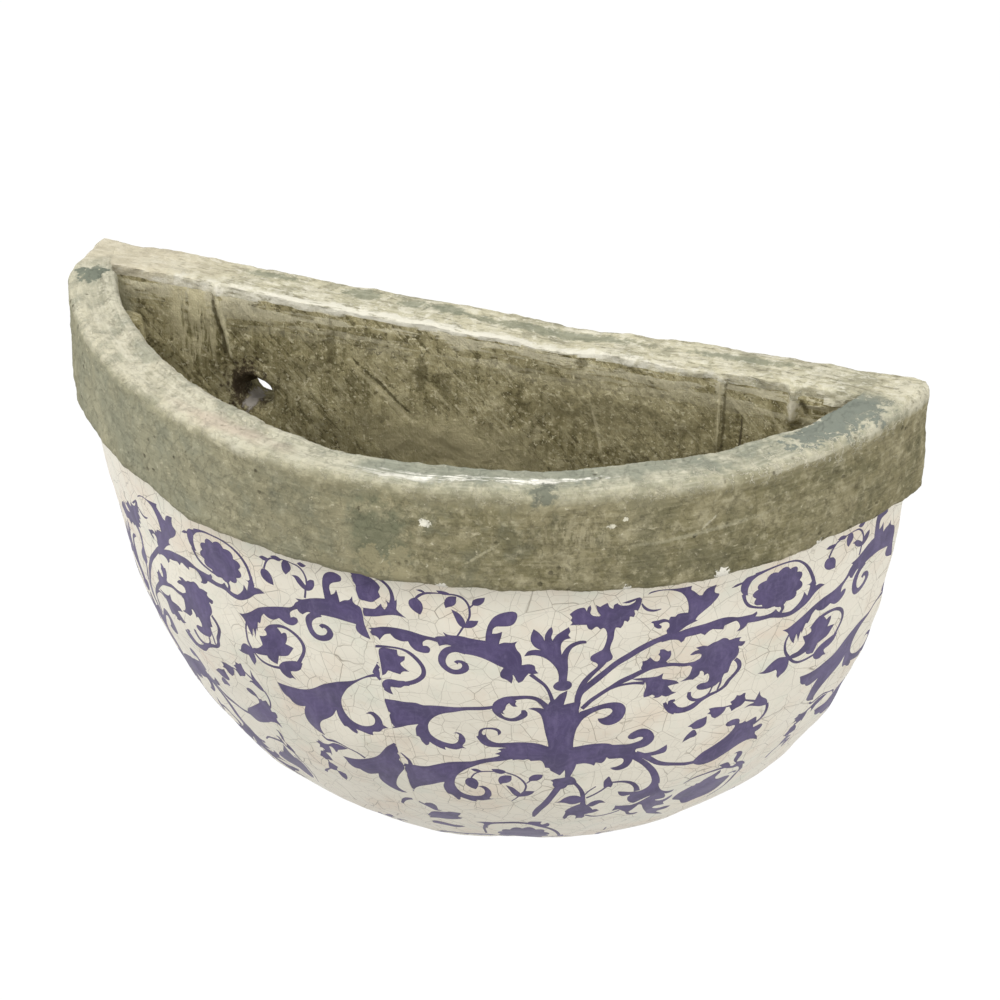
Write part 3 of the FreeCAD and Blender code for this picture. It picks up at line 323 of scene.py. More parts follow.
    # the lotus in the left ring, and the leaf that closes that ring
    ((192, 49.8, 1), (194, 47.5), (197, 45.6), (198.8, 47), (200, 48.8, 1), (201, 48), (202.5, 47.8),
     (202.7, 50.5), (201.8, 53.4, 1), (204, 53.6), (206, 53.9, 1), (204.5, 56.5), (202.8, 58.8),
     (200, 60), (197.7, 60.5, 1), (197, 63), (196.3, 65.5, 1), (193.5, 64.8), (191.6, 63.3),
     (191.2, 62.2, 1), (187, 63), (184, 63.2), (180.7, 62.3, 1), (183, 60.6), (186, 60),
     (189, 57.8), (189.6, 56.5), (188.6, 54), (188.3, 52.8, 1), (190.4, 52.6), (192.4, 51.6)),
    ((210, 60.2, 1), (209.5, 61.5), (208.5, 64), (206, 66), (203.3, 67), (204, 69), (205.5, 71.2, 1),
     (203.5, 70.6), (202, 71.6), (199.5, 71), (197.5, 69), (196.9, 66.5), (198, 64.5), (200, 62.8),
     (203, 61.4), (206.5, 60.2, 1)),
    # the big trumpet left of the seam
    ((246, 53.6, 1), (242, 56), (238, 58.6), (234, 61), (230, 62.5), (226, 64), (222, 66.3),
     (218, 69), (214, 72.5), (210.5, 75), (206, 76.8), (201, 77.8), (196, 78), (192.1, 77.5, 1),
     (192.9, 80), (193.6, 82.2), (195.2, 84.3), (197.7, 85.7), (198.8, 87.3), (201, 88.5),
     (204, 88.4), (206.6, 87.4, 1), (205.3, 90.8), (204.6, 94.5), (204.8, 98), (206.2, 101),
     (208.8, 103.2), (212.2, 104.3, 1), (211.3, 101.5), (211.5, 98), (212.5, 94.8), (214.5, 92.3),
     (217.5, 89.6), (220.5, 86.3), (222.7, 82.2, 1), (223.2, 85.3), (224.4, 88.3), (225.7, 90.4, 1),
     (227.5, 90.2), (229.5, 92), (231.8, 92.8), (232.4, 91.6), (231.9, 90, 1), (234.5, 90.4),
     (237.5, 91), (239.9, 90.9, 1), (239.9, 89), (243, 88), (245, 85.5), (247.5, 84.6, 1),
     (245.2, 83), (245, 81.5), (244.3, 79.2), (242.3, 77.3), (240, 76.9), (237.5, 78.7, 1),
     (239.8, 78.5), (241.4, 79.9), (241.4, 82.6), (240, 85), (237, 86.5), (233.5, 86.3),
     (230, 84.7), (227.4, 81.6), (226.3, 77.5), (226.8, 73), (228.4, 69.5), (230.6, 66.2),
     (233.5, 63), (237, 60.2), (241, 57.8), (246, 56, 1)),
    ((245.6, 47.5, 1), (247.4, 50), (247.2, 54), (246.6, 58.5, 1), (244.8, 57), (243.8, 55.5),
     (242.8, 54.6), (243.6, 52), (244.6, 50)),
    # the lower trumpet left of the seam
    ((218.8, 114.6, 1), (224, 113.5), (229, 112.2), (233, 110.6), (237, 108), (240, 105),
     (243, 100.5), (246, 96.5), (252, 92, 1), (252, 112, 1), (248.5, 118), (246, 122.5),
     (244.5, 126), (243.6, 129.5), (244, 132.5), (245.6, 134.5), (248, 135.7, 1), (245, 136.4),
     (242, 135.7), (239, 133.5), (236.5, 130), (235.5, 126.5), (236, 122, 1), (234, 122.8),
     (231, 124), (228.6, 122.8), (227, 121, 1), (224, 120.8), (221.5, 119), (220.2, 116.6)),
    ((224, 106.4, 1), (220.5, 109), (217.6, 110.8), (216.6, 112.5), (215.3, 113.6, 1), (215, 111.5),
     (214.2, 110.6), (212.4, 111.2), (212.2, 114), (211.8, 116.5), (211.4, 118.2, 1), (210.8, 117),
     (208.5, 118), (206, 119.5, 1), (207.5, 116.5), (206.5, 115.7), (204.5, 116, 1), (205.5, 114),
     (203.6, 112.4, 1), (205.6, 111.6), (205.8, 110, 1), (208, 111), (210.5, 110.8), (213, 109.4),
     (216, 107), (220, 106)),
    ((202, 123.5, 1), (203.5, 121), (204.5, 118.8), (207, 118.4), (209, 120), (210.2, 123.3, 1),
     (208.5, 124), (206.5, 124), (205, 125.3, 1), (203.6, 123.8)),
    ((204.2, 132.8, 1), (205, 129.5), (206, 126.5), (208.5, 126.6), (211.5, 128.2, 1), (210, 130.5),
     (209, 132.3), (206.5, 132.6)),
    ((209.5, 133, 1), (211, 131.8), (214.3, 133, 1), (214, 136), (212.3, 139.3, 1), (210.5, 136.5)),
    # the fallen leaves on the lower seam
    ((9, 144, 1), (11, 142), (14.5, 141), (16.2, 143.5), (15.9, 146.5), (15.4, 149, 1),
     (18.1, 148.8, 1), (15, 150.3), (12.5, 149.7), (10.4, 147.3)),
    ((8, 156), (10.5, 152.7), (14, 151.3), (19, 150.3), (22, 148.5), (25.5, 147.8), (28.8, 147.8, 1),
     (27.8, 150), (25.8, 152.4), (26, 153.8), (28, 154, 1), (26, 156.5), (22.5, 158.5), (18, 160),
     (12, 161.5), (7, 163), (3.5, 163.5, 1), (4.2, 160), (4.3, 156.5), (5.3, 154.4, 1),
     (6.8, 157.3, 1)),
    ((4, 169, 1), (8, 166.5), (13, 167), (18, 169), (24, 169.5), (26, 171, 1), (20, 173), (12, 172),
     (7, 170.5)),
    # the tip and the bud on the lowest ring
    ((35, 157, 1), (38, 155.8), (42, 155), (46, 155), (42.8, 158), (41.5, 162), (41.3, 165, 1),
     (40, 163), (39.8, 159), (39.2, 157.4)),
    ((66, 156.8), (65.8, 154.5), (68, 153.5), (71, 153.2), (73.2, 153.2, 1), (72.3, 156),
     (73.5, 156.8), (76, 154.8, 1), (77, 156.5), (76.5, 159.5), (74, 160.3), (71, 159.6)),
)
# Stems, rings and curls, each point with half the width of the line there.
STEMS = (
    ((37, 33.6, 1.7), (33, 33.4, 1.6), (29.6, 35.3, 1.6), (27.8, 38.5, 1.6), (27.5, 41.8, 1.5),
     (28.9, 44.3, 1.3), (31.8, 45.7, 1.3), (34.9, 44.9, 1.3), (36.8, 42.7, 1.5), (36.6, 40.6, 1.3),
     (35.2, 39.5, 0.8), (33.6, 39.8, 0.7), (33, 40.8, 0.9)),
    ((34, 26.4, 0.35), (35.2, 24.4, 0.4), (36.6, 22, 0.45)),
    ((37.9, 20, 0.4), (39.2, 16.5, 0.5), (39.4, 13, 0.5), (38.8, 10.5, 0.5), (37, 8.6, 0.5),
     (34, 7.7, 0.4), (30, 7.6, 0.3), (26, 7.7, 0.3), (22.4, 8.2, 0.5), (20, 9.6, 0.6),
     (18.8, 11, 0.5)),
    ((39.4, 12.4, 0.35), (41.4, 10.4, 0.3)),
    ((63.5, 44.8, 0.9), (67, 48.8, 0.8), (69.8, 52, 0.7), (71.8, 55.5, 0.7), (73.2, 59, 0.8),
     (74.3, 62.5, 1)),
    ((84, 64, 1.2), (84.6, 59, 1.5), (87, 55.5, 1.5), (90, 52.4, 1.5), (95, 48, 1.5),
     (100, 43.7, 1.6), (105, 40, 1.6), (110, 36.4, 1.5), (115, 33, 1.4), (120, 31, 1.8)),
    ((108.3, 12.2, 0.3), (109.5, 14.5, 0.6), (111.2, 16.2, 0.7), (113.5, 16.9, 0.6),
     (116.3, 16.5, 0.2)),
    ((157, 9, 1.1), (162, 8.4, 0.6), (168, 8.4, 0.4), (174, 9, 0.4), (179, 10.4, 0.5),
     (183, 13.5, 0.6), (186, 17.5, 0.8), (188, 22, 0.9), (189, 26, 1.2)),
    ((152.3, 19, 0.9), (153.5, 23, 0.7), (156.2, 26.3, 0.7), (160, 28.3, 0.6), (164, 29.3, 0.6),
     (168.5, 29.6, 0.3)),
    ((172, 30, 0.9), (173, 32, 0.8), (172.3, 34.4, 0.9)),
    ((86, 67, 1), (88, 64.8, 1), (90, 62.5, 1), (94, 58.8, 1), (98, 56.2, 1.1), (102, 54, 1.3),
     (106, 52.2, 1.3), (110, 50.2, 1.3), (114, 48.6, 1.2), (119, 48, 1.1), (124, 47.9, 1),
     (129, 48.9, 1), (134, 49.6, 1)),
    ((97, 57.2, 0.7), (102, 56, 0.6), (107, 55.8, 0.7), (112, 57, 1)),
    ((153, 53.6, 0.8), (155.2, 56.2, 1), (155.9, 59.5, 1), (154.3, 62.8, 0.9), (152.4, 65.5, 1),
     (151.2, 68.6, 0.9), (148.6, 70.8, 0.8), (145, 71.8, 1), (141, 73.2, 1.2), (137, 75.3, 1.5),
     (133, 76.1, 1.4), (129.4, 75.3, 1.6), (127, 72.8, 1.5), (125.8, 70.6, 1), (128, 70, 0.6)),
    ((123.4, 70.6, 0.8), (124.4, 72.8, 1), (126.5, 75, 1.2), (129, 76.6, 1)),
    ((134.4, 67, 0.9), (134.4, 69.2, 1.1), (136, 71.4, 0.9), (139, 72.6, 0.7), (142.5, 72.2, 0.6),
     (144.6, 70.6, 0.5), (145.4, 68, 0.4), (145.7, 66, 0.4)),
    ((148.6, 62.5, 0.4), (148.9, 66, 0.5), (148.4, 70, 0.4)),
    ((72.5, 66, 1.6), (70.3, 62.6, 1.2), (67.2, 59.5, 1), (63, 58, 1), (58.5, 58.2, 1.3),
     (54.5, 60, 2.2), (51.9, 63, 2.8), (51, 66, 2.2), (51.6, 69, 1.3), (53.6, 71.2, 0.9),
     (56.6, 72.1, 1), (59.6, 71.2, 1.3), (62, 68.9, 1.7), (61.8, 67, 1.4), (60.9, 66.9, 1)),
    ((-3, 41, 0.6), (1, 39.8, 0.7), (6, 39, 0.5), (10.5, 38.9, 0.5), (14, 40.2, 0.8),
     (17.3, 43, 1), (19.2, 46.5, 1), (19, 50.5, 1), (16.5, 53.6, 1), (12.5, 56.2, 1.1),
     (9, 57.3, 1)),
    ((-9, 5.4, 0.4), (2, 5.8, 0.5), (6, 7.2, 0.6), (8.4, 10, 0.7), (9, 13.5, 0.9), (8.5, 17, 1.3)),
    ((5.2, 101.3, 0.3), (7, 103.5, 0.5), (8.8, 106.2, 0.8), (9, 109.4, 1.2)),
    ((113, 99.5, 1.6), (117, 101.5, 1.5), (121, 104.5, 1.4), (125, 107.5, 1.3), (130, 109.8, 1.1),
     (135, 111, 1), (140, 112, 1), (145, 112.3, 1)),
    ((113, 102, 1.2), (117, 105, 1.3), (121, 109, 1.5), (124.5, 113.5, 1.7), (126.8, 119, 1.9),
     (127.6, 124, 2.4)),
    ((105, 117.8, 0.6), (110, 118.2, 0.8), (114.5, 120, 1), (117.5, 123.2, 1.2),
     (119, 127.5, 1.6)),
    ((93.5, 127.6, 0.6), (97, 125.8, 0.6), (100, 123.3, 0.6), (102.3, 120.6, 0.5)),
    ((91.4, 127, 0.4), (94, 122.5, 0.4), (97.3, 119.6, 0.3)),
    ((80, 118, 1.6), (77, 125, 1.7), (74, 131.5, 1.8), (71.5, 137, 1.8), (69.8, 142, 1.6),
     (69, 146.5, 0.6)),
    ((87, 115.5, 0.9), (88.8, 118.5, 0.9), (90.3, 121.5, 1), (91.4, 125, 1.2), (92, 129, 1.1),
     (92.6, 134, 1.6)),
    ((95, 146, 0.6), (99, 148, 0.6), (104, 148.8, 0.5), (110, 148.2, 0.5), (114, 146.5, 0.5)),
    ((39.3, 113.8, 0.4), (41, 111, 0.4), (44, 108.9, 0.4), (48.5, 108, 0.35), (53, 107.8, 0.3),
     (57, 109, 0.4), (60.5, 110.9, 0.4), (63.2, 114, 0.5), (64.6, 117.5, 0.5), (64.2, 121, 0.5),
     (63.4, 123.5, 0.4)),
    ((64.6, 115.4, 0.3), (66, 113.6, 0.4)),
    ((61.2, 126, 0.4), (59.5, 128.2, 0.35), (57.9, 130, 0.3)),
    ((149, 82, 0.4), (153, 80.5, 0.4), (157, 80.4, 0.4)),
    ((163.3, 79.7, 0.5), (166.5, 81.3, 0.6), (169.6, 82.8, 0.7)),
    ((177.5, 88, 0.7), (178.6, 91, 0.8), (178.6, 94.5, 0.8), (177, 97.5, 0.7), (174, 99.7, 0.6)),
    ((145, 130, 0.4), (149, 127, 0.6), (154, 125.3, 0.7), (160, 124.7, 0.8), (166, 125.2, 1)),
    ((172, 127.4, 1.6), (175.6, 129.4, 1.3), (178.6, 133, 1), (180.5, 138, 1), (181, 145, 1),
     (179.6, 151, 0.9), (176.6, 156, 0.8), (172, 160, 0.6)),
    ((171.4, 134.6, 0.4), (175, 135, 0.6), (178, 137.6, 0.8)),
    ((222, 30, 1.3), (218.8, 31.6, 1.5), (216.4, 34.2, 1.6), (215.5, 37.3, 1.6),
     (216.2, 40.5, 1.6), (218.3, 42.6, 1.5), (221, 42.8, 1.4), (224, 41.2, 1.4), (225.5, 38.4, 1.5),
     (224.3, 36.2, 1.2), (222.2, 35.9, 1), (221.2, 37, 0.9)),
    ((216.2, 19, 0.5), (216, 21, 0.5), (215.6, 23.5, 0.5)),
    ((216.9, 16, 0.5), (216.8, 13.5, 0.5), (215.6, 10.6, 0.5), (213.5, 8.8, 0.4),
     (210.5, 8.2, 0.25), (207, 7.9, 0.25), (203, 8.3, 0.3), (199.5, 9.2, 0.4), (197.3, 11.8, 0.5),
     (196, 15.4, 0.5)),
    ((192, 50, 0.9), (195, 46.8, 1), (199.5, 44.9, 0.9), (204, 44.9, 0.8), (208.4, 47, 0.9),
     (210.9, 50.5, 0.9), (210.9, 54.5, 0.8), (209.4, 58, 0.8), (207.8, 61, 1)),
    ((197.5, 67, 0.7), (193, 67.6, 0.7), (188, 66.8, 0.7), (184, 64.6, 0.7), (181, 61, 0.8),
     (179, 57, 0.7), (178.8, 52, 0.6), (180.4, 48, 0.6)),
    ((210.3, 105, 0.5), (212.5, 106.6, 0.6), (216, 105.6, 0.7), (220, 105, 0.5), (225, 106, 0.4),
     (229, 107.6, 0.5), (231.8, 110.6, 0.6)),
    ((207, 117, 0.6), (206.5, 119.2, 0.5)),
    ((206.2, 123.5, 0.5), (206.5, 127, 0.5)),
    ((209.2, 131.5, 0.4), (210.6, 133, 0.4)),
    ((205, 132.4, 0.4), (202.5, 134.7, 0.6), (200.5, 136.8, 0.8), (199.5, 139, 1)),
    ((240.8, 148, 0.7), (242.4, 144.6, 1), (245.5, 142, 1.1), (249, 140.8, 0.8)),
    ((3, 139.6, 0.5), (5.3, 141.5, 0.7), (8, 143.8, 0.9), (10.5, 146.2, 1), (13.5, 149.5, 0.8)),
    ((39, 176, 0.8), (38.6, 170, 0.8), (39, 165, 0.9), (40.5, 160.5, 1.2), (43.5, 157, 1.2),
     (48, 155.3, 1), (54, 154.6, 0.9), (60, 155, 0.9), (66, 156.3, 0.9), (71, 158.6, 1),
     (76, 162.3, 1), (80, 167, 1), (82.6, 172, 1), (84, 178, 1)),
)

# The print repeats on both sheets, each so many millimetres wide.
SHEET_WIDTH = 246.0
# The second sheet is laid askew. From so far across on towards the wall, easing in, its print
# drifts round by a share of its height under a level row, and sinks by the square of the way.
SKEW_FROM = 186.0
SKEW_EASE = 25.0
SKEW_LEVEL = 18.0
SHEET_DRIFT = 0.13
SHEET_SINK = 0.0025
# Lower down the print starts again, so far across and down, from this height on. Leaves whose
# middle lies outside the reach are left out.
REPEAT_ACROSS = -103.0
REPEAT_DOWN = 154.0
PRINT_END = 172.0
REPEAT_REACH = (-12.0, 250.0)
# The peonies in the rings: their centres, their radii and how many petals they have.
PEONIES = (((169.8, 20.8), (12.2, 9.6), 11), ((62.0, 176.0), (15.0, 15.0), 12))
# How finely drawn lines, cut outlines and the mesh between them are divided, in millimetres.
LINE_STEP = 0.9
OUTLINE_STEP = 2.2
GRID_STEP = 2.6
# The seam is all but closed, with an unprinted margin beside it, in millimetres.
SEAM_SEEN = 0.15
SEAM_MARGIN = 0.45
# How hand forming has bent the pot: the size of the lumps and how far they go, in metres. The
# second pair is for cement and clay alone.
HAND_FORMED = ((0.070, 0.0050), (0.018, 0.0016))
CEMENT_FORMED = ((0.0085, 0.0009), (0.0030, 0.0006))
# Pieces of cement and clay are keyed into each other by this much, so that no joint gapes.
KEY = 0.002
# The remeshed pieces' voxels: cement, the back slab and the coil.
CEMENT_VOXEL = 0.00125
SLAB_VOXEL = 0.00155
COIL_VOXEL = 0.0016
# Edges blunter than this, in degrees, are shaded smooth.
SMOOTH_ANGLE = 55
# The drills are longer than any wall that they pierce.
DRILL_LENGTH = 0.060
# Spots on the collar narrower than this, in millimetres, have finely torn edges.
FINE_SPOT = 8
# A point of the trimmed left end of the collar, and how far the back mouths of the holes have
# broken out.
LEFT_END = (-0.1790, -0.018, 0.0)
HOLE_BREAK = 0.0015
# How high the back's top edge stands at places along the wall, over its drawn height, in
# millimetres: it was trowelled by eye.
TOP_EDGE = ((-180, 2.0), (-150, 3.2), (-118, 2.9), (-87, 1.2), (-64, 0.7), (-20, 0.2), (0, -1.6),
            (40, -1.0), (60, 0.3), (80, 0.1), (112, 2.2), (130, 2.8), (150, 2.5), (190, 2.6))
# Folds of clay and trowel ridges on the back's inner face: a line of (x, z), half width, height.
CLAY_FOLDS = (
    (((-115, 49), (-112, 34), (-108, 18)), 2.2, 2.2),
    (((-121, 46), (-119, 34), (-117, 20)), 1.6, 1.0),
    (((106.3, 47), (106, 36), (105.7, 17)), 1.8, 1.6),
    (((137.2, 49), (137, 37)), 3.0, 3.2),
    (((139, 46), (147, 44), (156, 47)), 2.0, 1.6),
    (((51, 30), (54, 15), (57, 0)), 1.2, 0.8),
)
# Streaks on the same face: from (x, z), to (x, z), half width, colour and how much it covers.
# The narrow pale and dark pairs along the folds and the slanting groove are painted highlight on
# their ridges and painted shade on their sides; the wide dark streaks are drips.
CLAY_STREAKS_AND_PAINTED_LIGHT = (
    ((-115.5, 50), (-108.4, 18), 1.0, "#d2caa8", 0.9),
    ((-118.0, 48), (-111.0, 18), 1.3, "#4b442b", 0.75),
    ((-121.6, 47), (-117.2, 18), 0.7, "#c6bd99", 0.8),
    ((106.3, 50), (105.6, 17), 0.6, "#cbc29f", 0.65),
    ((108.2, 46), (107.6, 14), 0.7, "#4f482e", 0.6),
    ((115.6, 33), (114.9, 12), 0.5, "#40392a", 0.75),
    ((137.1, 51), (136.8, 37), 2.0, "#d8d2bd", 0.95),
    ((140.5, 46), (143.0, 38), 1.3, "#4b442b", 0.85),
    ((50.6, 30), (57.2, 0), 0.7, "#c3ba97", 0.8),
    ((-63.0, 41), (-63.4, 20), 2.4, "#5f583c", 0.6),
    ((-22.8, 33), (-24.0, 16), 2.6, "#5f583c", 0.6),
    ((-12.6, 28), (-12.8, 14), 3.2, "#5a5338", 0.5),
    ((46.8, 46), (47.8, 41), 3.0, "#5a5338", 0.7),
    ((-50.7, 25), (-28.3, 7.4), 0.8, "#453e28", 0.8),
    ((-50.9, 22), (-29.6, 5.6), 0.8, "#c3ba97", 0.7),
    ((-19, 21), (-10, 12), 0.6, "#bdb491", 0.6),
)
# The camera: place in metres, its right and up, and its lens in millimetres.
CAMERA_PLACE = (0.4449, -1.2497, 0.7537)
CAMERA_RIGHT = (0.94182378, 0.33605362, 0.00599387)
CAMERA_UP = (-0.17799493, 0.48356267, 0.85702097)
CAMERA_LENS = 129.62


def sizes():
    """The sizes that a user can change."""
    return bpy.context.scene.planter_sizes


def colours():
    """The colours that a user can change."""
    return bpy.context.scene.planter_colours


def derived():
    """What follows from the sizes: radii, the turning axis and the two arcs of the bowl's side."""
    size = sizes()
    radius = (size.width ** 2 / 4 + size.depth ** 2) / (2 * size.depth)
    glaze = radius - size.collar_overhang
    lean, belly = size.side_lean, size.belly_lean
    run = glaze - size.foot_radius
    spread = ((math.cos(lean) - math.cos(belly)) * (1 - math.sin(belly))
              - (math.sin(belly) - math.sin(lean)) * math.cos(belly))
    side = (run * (1 - math.sin(belly)) - size.bowl_drop * math.cos(belly)) / spread
    under = ((math.cos(lean) - math.cos(belly)) * size.bowl_drop
             - (math.sin(belly) - math.sin(lean)) * run) / spread
    return {
        "collar": radius, "axis": radius - size.depth, "glaze": glaze, "side": side,
        "under": under, "bend": side * (belly - lean), "top": size.hole_drop,
        "edge": size.hole_drop - size.collar_height,
        "mouth": glaze - size.glaze - size.wall,
    }


def side_point(along, depth=0.0):
    """Radius and height of the bowl's side, measured down from the collar's edge and in from the
    glaze."""
    size, made = sizes(), derived()
    lean, belly, bend = size.side_lean, size.belly_lean, made["bend"]
    if along <= 0:
        return made["glaze"] - depth, made["edge"] - along
    angle = lean + min(along, bend) / made["side"]
    out = made["glaze"] - made["side"] * (math.cos(lean) - math.cos(angle))
    up = made["edge"] - made["side"] * (math.sin(angle) - math.sin(lean))
    if along > bend:
        angle = belly + (along - bend) / made["under"]
        out -= made["under"] * (math.cos(belly) - math.cos(angle))
        up -= made["under"] * (math.sin(angle) - math.sin(belly))
    return out - depth * math.cos(angle), up + depth * math.sin(angle)


def side_end():
    """How far down the side the wall plane meets the middle of the bowl."""
    size, made = sizes(), derived()
    angle = math.acos((made["axis"] - size.foot_radius) / made["under"])
    return made["bend"] + made["under"] * (angle - size.belly_lean)


def clear_selection():
    """Leaves edit mode with nothing selected."""
    if bpy.context.object and bpy.context.object.mode != "OBJECT":
        bpy.ops.object.mode_set(mode="OBJECT")
    bpy.ops.object.select_all(action="DESELECT")


def pick(obj):
    """Makes one object the only selected and active one."""
    clear_selection()
    obj.select_set(True)
    bpy.context.view_layer.objects.active = obj


def spaced(points, step):
    """The same broken line with a point at least every step."""
    line = [points[0]]
    for (x0, y0), (x1, y1) in zip(points, points[1:]):
        count = max(1, round(math.hypot(x1 - x0, y1 - y0) / step))
        line += [(x0 + (x1 - x0) * i / count, y0 + (y1 - y0) * i / count)
                 for i in range(1, count + 1)]
    return line


def spin_profile(name, outline, steps):
    """Draws a closed outline of (radius, height) by extruding one vertex, and spins it half a turn
    round the planter's axis."""
    axis = derived()["axis"]
    clear_selection()
    bpy.ops.mesh.primitive_plane_add(size=0.01, location=(0, 0, 0))
    obj = bpy.context.object
    obj.name = obj.data.name = name
    bpy.ops.object.mode_set(mode="EDIT")
    bpy.ops.mesh.select_all(action="SELECT")
    bpy.ops.mesh.merge(type="CENTER")
    corners = [Vector((-out, axis, up)) for out, up in outline]
    bpy.ops.transform.translate(value=corners[0])
    for before, after in zip(corners, corners[1:]):
        bpy.ops.mesh.extrude_vertices_move(TRANSFORM_OT_translate={"value": after - before})
    work = bmesh.from_edit_mesh(obj.data)
    ends = [v for v in work.verts if len(v.link_edges) == 1]
    bpy.ops.mesh.select_all(action="DESELECT")
    for vert in ends:
        vert.select = True
    work.select_flush_mode()
    bmesh.update_edit_mesh(obj.data)
    bpy.ops.mesh.edge_face_add()
    bpy.ops.mesh.select_all(action="SELECT")
    bpy.ops.mesh.spin(steps=steps, angle=-math.pi, center=(0, axis, 0), axis=(0, 0, 1))
    bpy.ops.mesh.select_all(action="SELECT")
    bpy.ops.mesh.remove_doubles(threshold=1e-6)
    bpy.ops.mesh.normals_make_consistent(inside=False)
    bpy.ops.object.mode_set(mode="OBJECT")
    return obj


def slice_off(obj, place, normal):
    """Cuts off what lies beyond a plane and closes the cut."""
    pick(obj)
    bpy.ops.object.mode_set(mode="EDIT")
    bpy.ops.mesh.select_all(action="SELECT")
    bpy.ops.mesh.bisect(plane_co=place, plane_no=normal, use_fill=True, clear_outer=True,
                        threshold=1e-6)
    bpy.ops.object.mode_set(mode="OBJECT")


def apply_modifier(obj, kind, **settings):
    """Adds one modifier with its settings and applies it."""
    pick(obj)
    modifier = obj.modifiers.new(kind.title(), kind)
    for key, value in settings.items():
        setattr(modifier, key, value)
    bpy.ops.object.modifier_apply(modifier=modifier.name)


def weigh(obj, name, weight_of):
    """A vertex group whose weights come from each vertex's place."""
    group = obj.vertex_groups.new(name=name)
    for vert in obj.data.vertices:
        weight = max(0.0, min(1.0, weight_of(vert.co)))
        if weight:
            group.add([vert.index], weight, "REPLACE")
    return name


def clouds(name, size, **settings):
    """A cloud texture whose soft lumps are size across."""
    texture = bpy.data.textures.new(name, "CLOUDS")
    texture.noise_scale = size
    for key, value in settings.items():
        setattr(texture, key, value)
    return texture


def sag(obj, *steps, group=""):
    """Moves a piece's points by where they are, the same on every piece, so that pieces that touch
    still touch. Each step is the size of the lumps and how far they go."""
    for lump, reach in steps:
        texture = clouds(f"hand_formed_{lump * 1000:g}mm", lump, cloud_type="COLOR",
                         noise_depth=1)
        apply_modifier(obj, "DISPLACE", texture=texture, texture_coords="LOCAL",
                       direction="RGB_TO_XYZ", mid_level=0.5, strength=reach, vertex_group=group)


def roughen(obj, name, lump, reach, group="", mid_level=0.5, **settings):
    """Raises and sinks the surface in lumps."""
    apply_modifier(obj, "DISPLACE", texture=clouds(name, lump, **settings),
                   texture_coords="LOCAL", direction="NORMAL", mid_level=mid_level,
                   strength=reach, vertex_group=group)


def even_mesh(obj, step, rounds=2):
    """Remeshes a rigid form in even squares and takes the hardness off its edges."""
    apply_modifier(obj, "REMESH", mode="VOXEL", voxel_size=step)
    apply_modifier(obj, "SMOOTH", factor=0.5, iterations=rounds)


def off_line(x, z, line):
    """How far a place on the back is from a broken line, in millimetres."""
    best = 1e9
    for (x0, z0), (x1, z1) in zip(line, line[1:]):
        run = (x1 - x0) ** 2 + (z1 - z0) ** 2
        share = max(0.0, min(1.0, ((x - x0) * (x1 - x0) + (z - z0) * (z1 - z0)) / run))
        best = min(best, math.hypot(x - x0 - share * (x1 - x0), z - z0 - share * (z1 - z0)))
    return best


def press_folds(obj):
    """Raises the folds of clay and the trowel's ridges on the inner face of the back."""
    front = -sizes().slab
    for number, (line, width, height) in enumerate(CLAY_FOLDS):
        group = weigh(obj, f"fold_{number}", lambda p: (
            max(0.0, 1 - off_line(p.x / MM, p.z / MM, line) / width) ** 0.7
            if abs(p.y - front) < 0.003 else 0.0))
        apply_modifier(obj, "DISPLACE", direction="Y", mid_level=0.0, strength=-height * MM,
                       vertex_group=group)


def lift_top(obj):
    """Lets the top edge along the wall rise and dip as it was trowelled."""
    places, lifts = zip(*TOP_EDGE)
    lowest, highest = min(lifts), max(lifts)

    def near_top(p):
        """How near a point is to the top edge along the wall."""
        return (max(0.0, min(1.0, (p.y + 0.050) / 0.030))
                * max(0.0, min(1.0, (p.z - 0.033) / 0.010)))

    for name, reach, weight_of in (
            ("lowered", lowest, near_top),
            ("raised", highest - lowest, lambda p: near_top(p) * (
                np.interp(p.x / MM, places, lifts) - lowest) / (highest - lowest))):
        group = weigh(obj, name, weight_of)
        apply_modifier(obj, "DISPLACE", direction="Z", mid_level=0.0, strength=reach * MM,
                       vertex_group=group)


def wash_inside(obj, chosen):
    """Gives the faces that look into the mouth the same slurry wash as the clay."""
    for face in obj.data.polygons:
        if chosen(face.center):
            face.material_index = 1


def finish_piece(obj, nodes, slot, *materials):
    """Smooths a finished piece, gives it its materials and puts it in the place of its CAD node."""
    pick(obj)
    bpy.ops.object.transform_apply(location=True, rotation=True, scale=True)
    bpy.ops.object.shade_smooth_by_angle(angle=math.radians(SMOOTH_ANGLE))
    for material in materials:
        obj.data.materials.append(material)
    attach(obj, "root")
    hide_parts(*nodes)


def linear(code):
    """A colour written as sRGB hex, turned to linear."""
    parts = [int(code[i:i + 2], 16) / 255 for i in (1, 3, 5)]
    return [p / 12.92 if p <= 0.04045 else ((p + 0.055) / 1.055) ** 2.4 for p in parts] + [1.0]


def add_node(tree, kind, settings=(), **inputs):
    """Adds one node, sets its properties, and sets or links its inputs. An input is named by its
    label with _ for a space, or by i and its number."""
    node = tree.nodes.new("ShaderNode" + kind)
    for key, value in dict(settings).items():
        setattr(node, key, value)
    for key, value in inputs.items():
        socket = node.inputs[int(key[1:])] if key[1:].isdigit() else node.inputs[
            key.replace("_", " ")]
        if isinstance(value, bpy.types.NodeSocket):
            tree.links.new(value, socket)
        elif isinstance(value, str):
            socket.default_value = linear(value)
        else:
            socket.default_value = value
    return node


def new_material(name):
    """An empty material with its node tree and the object's own coordinates."""
    material = bpy.data.materials.new(name)
    material.use_nodes = True
    tree = material.node_tree
    tree.nodes.clear()
    return material, tree, add_node(tree, "TexCoord").outputs["Object"]


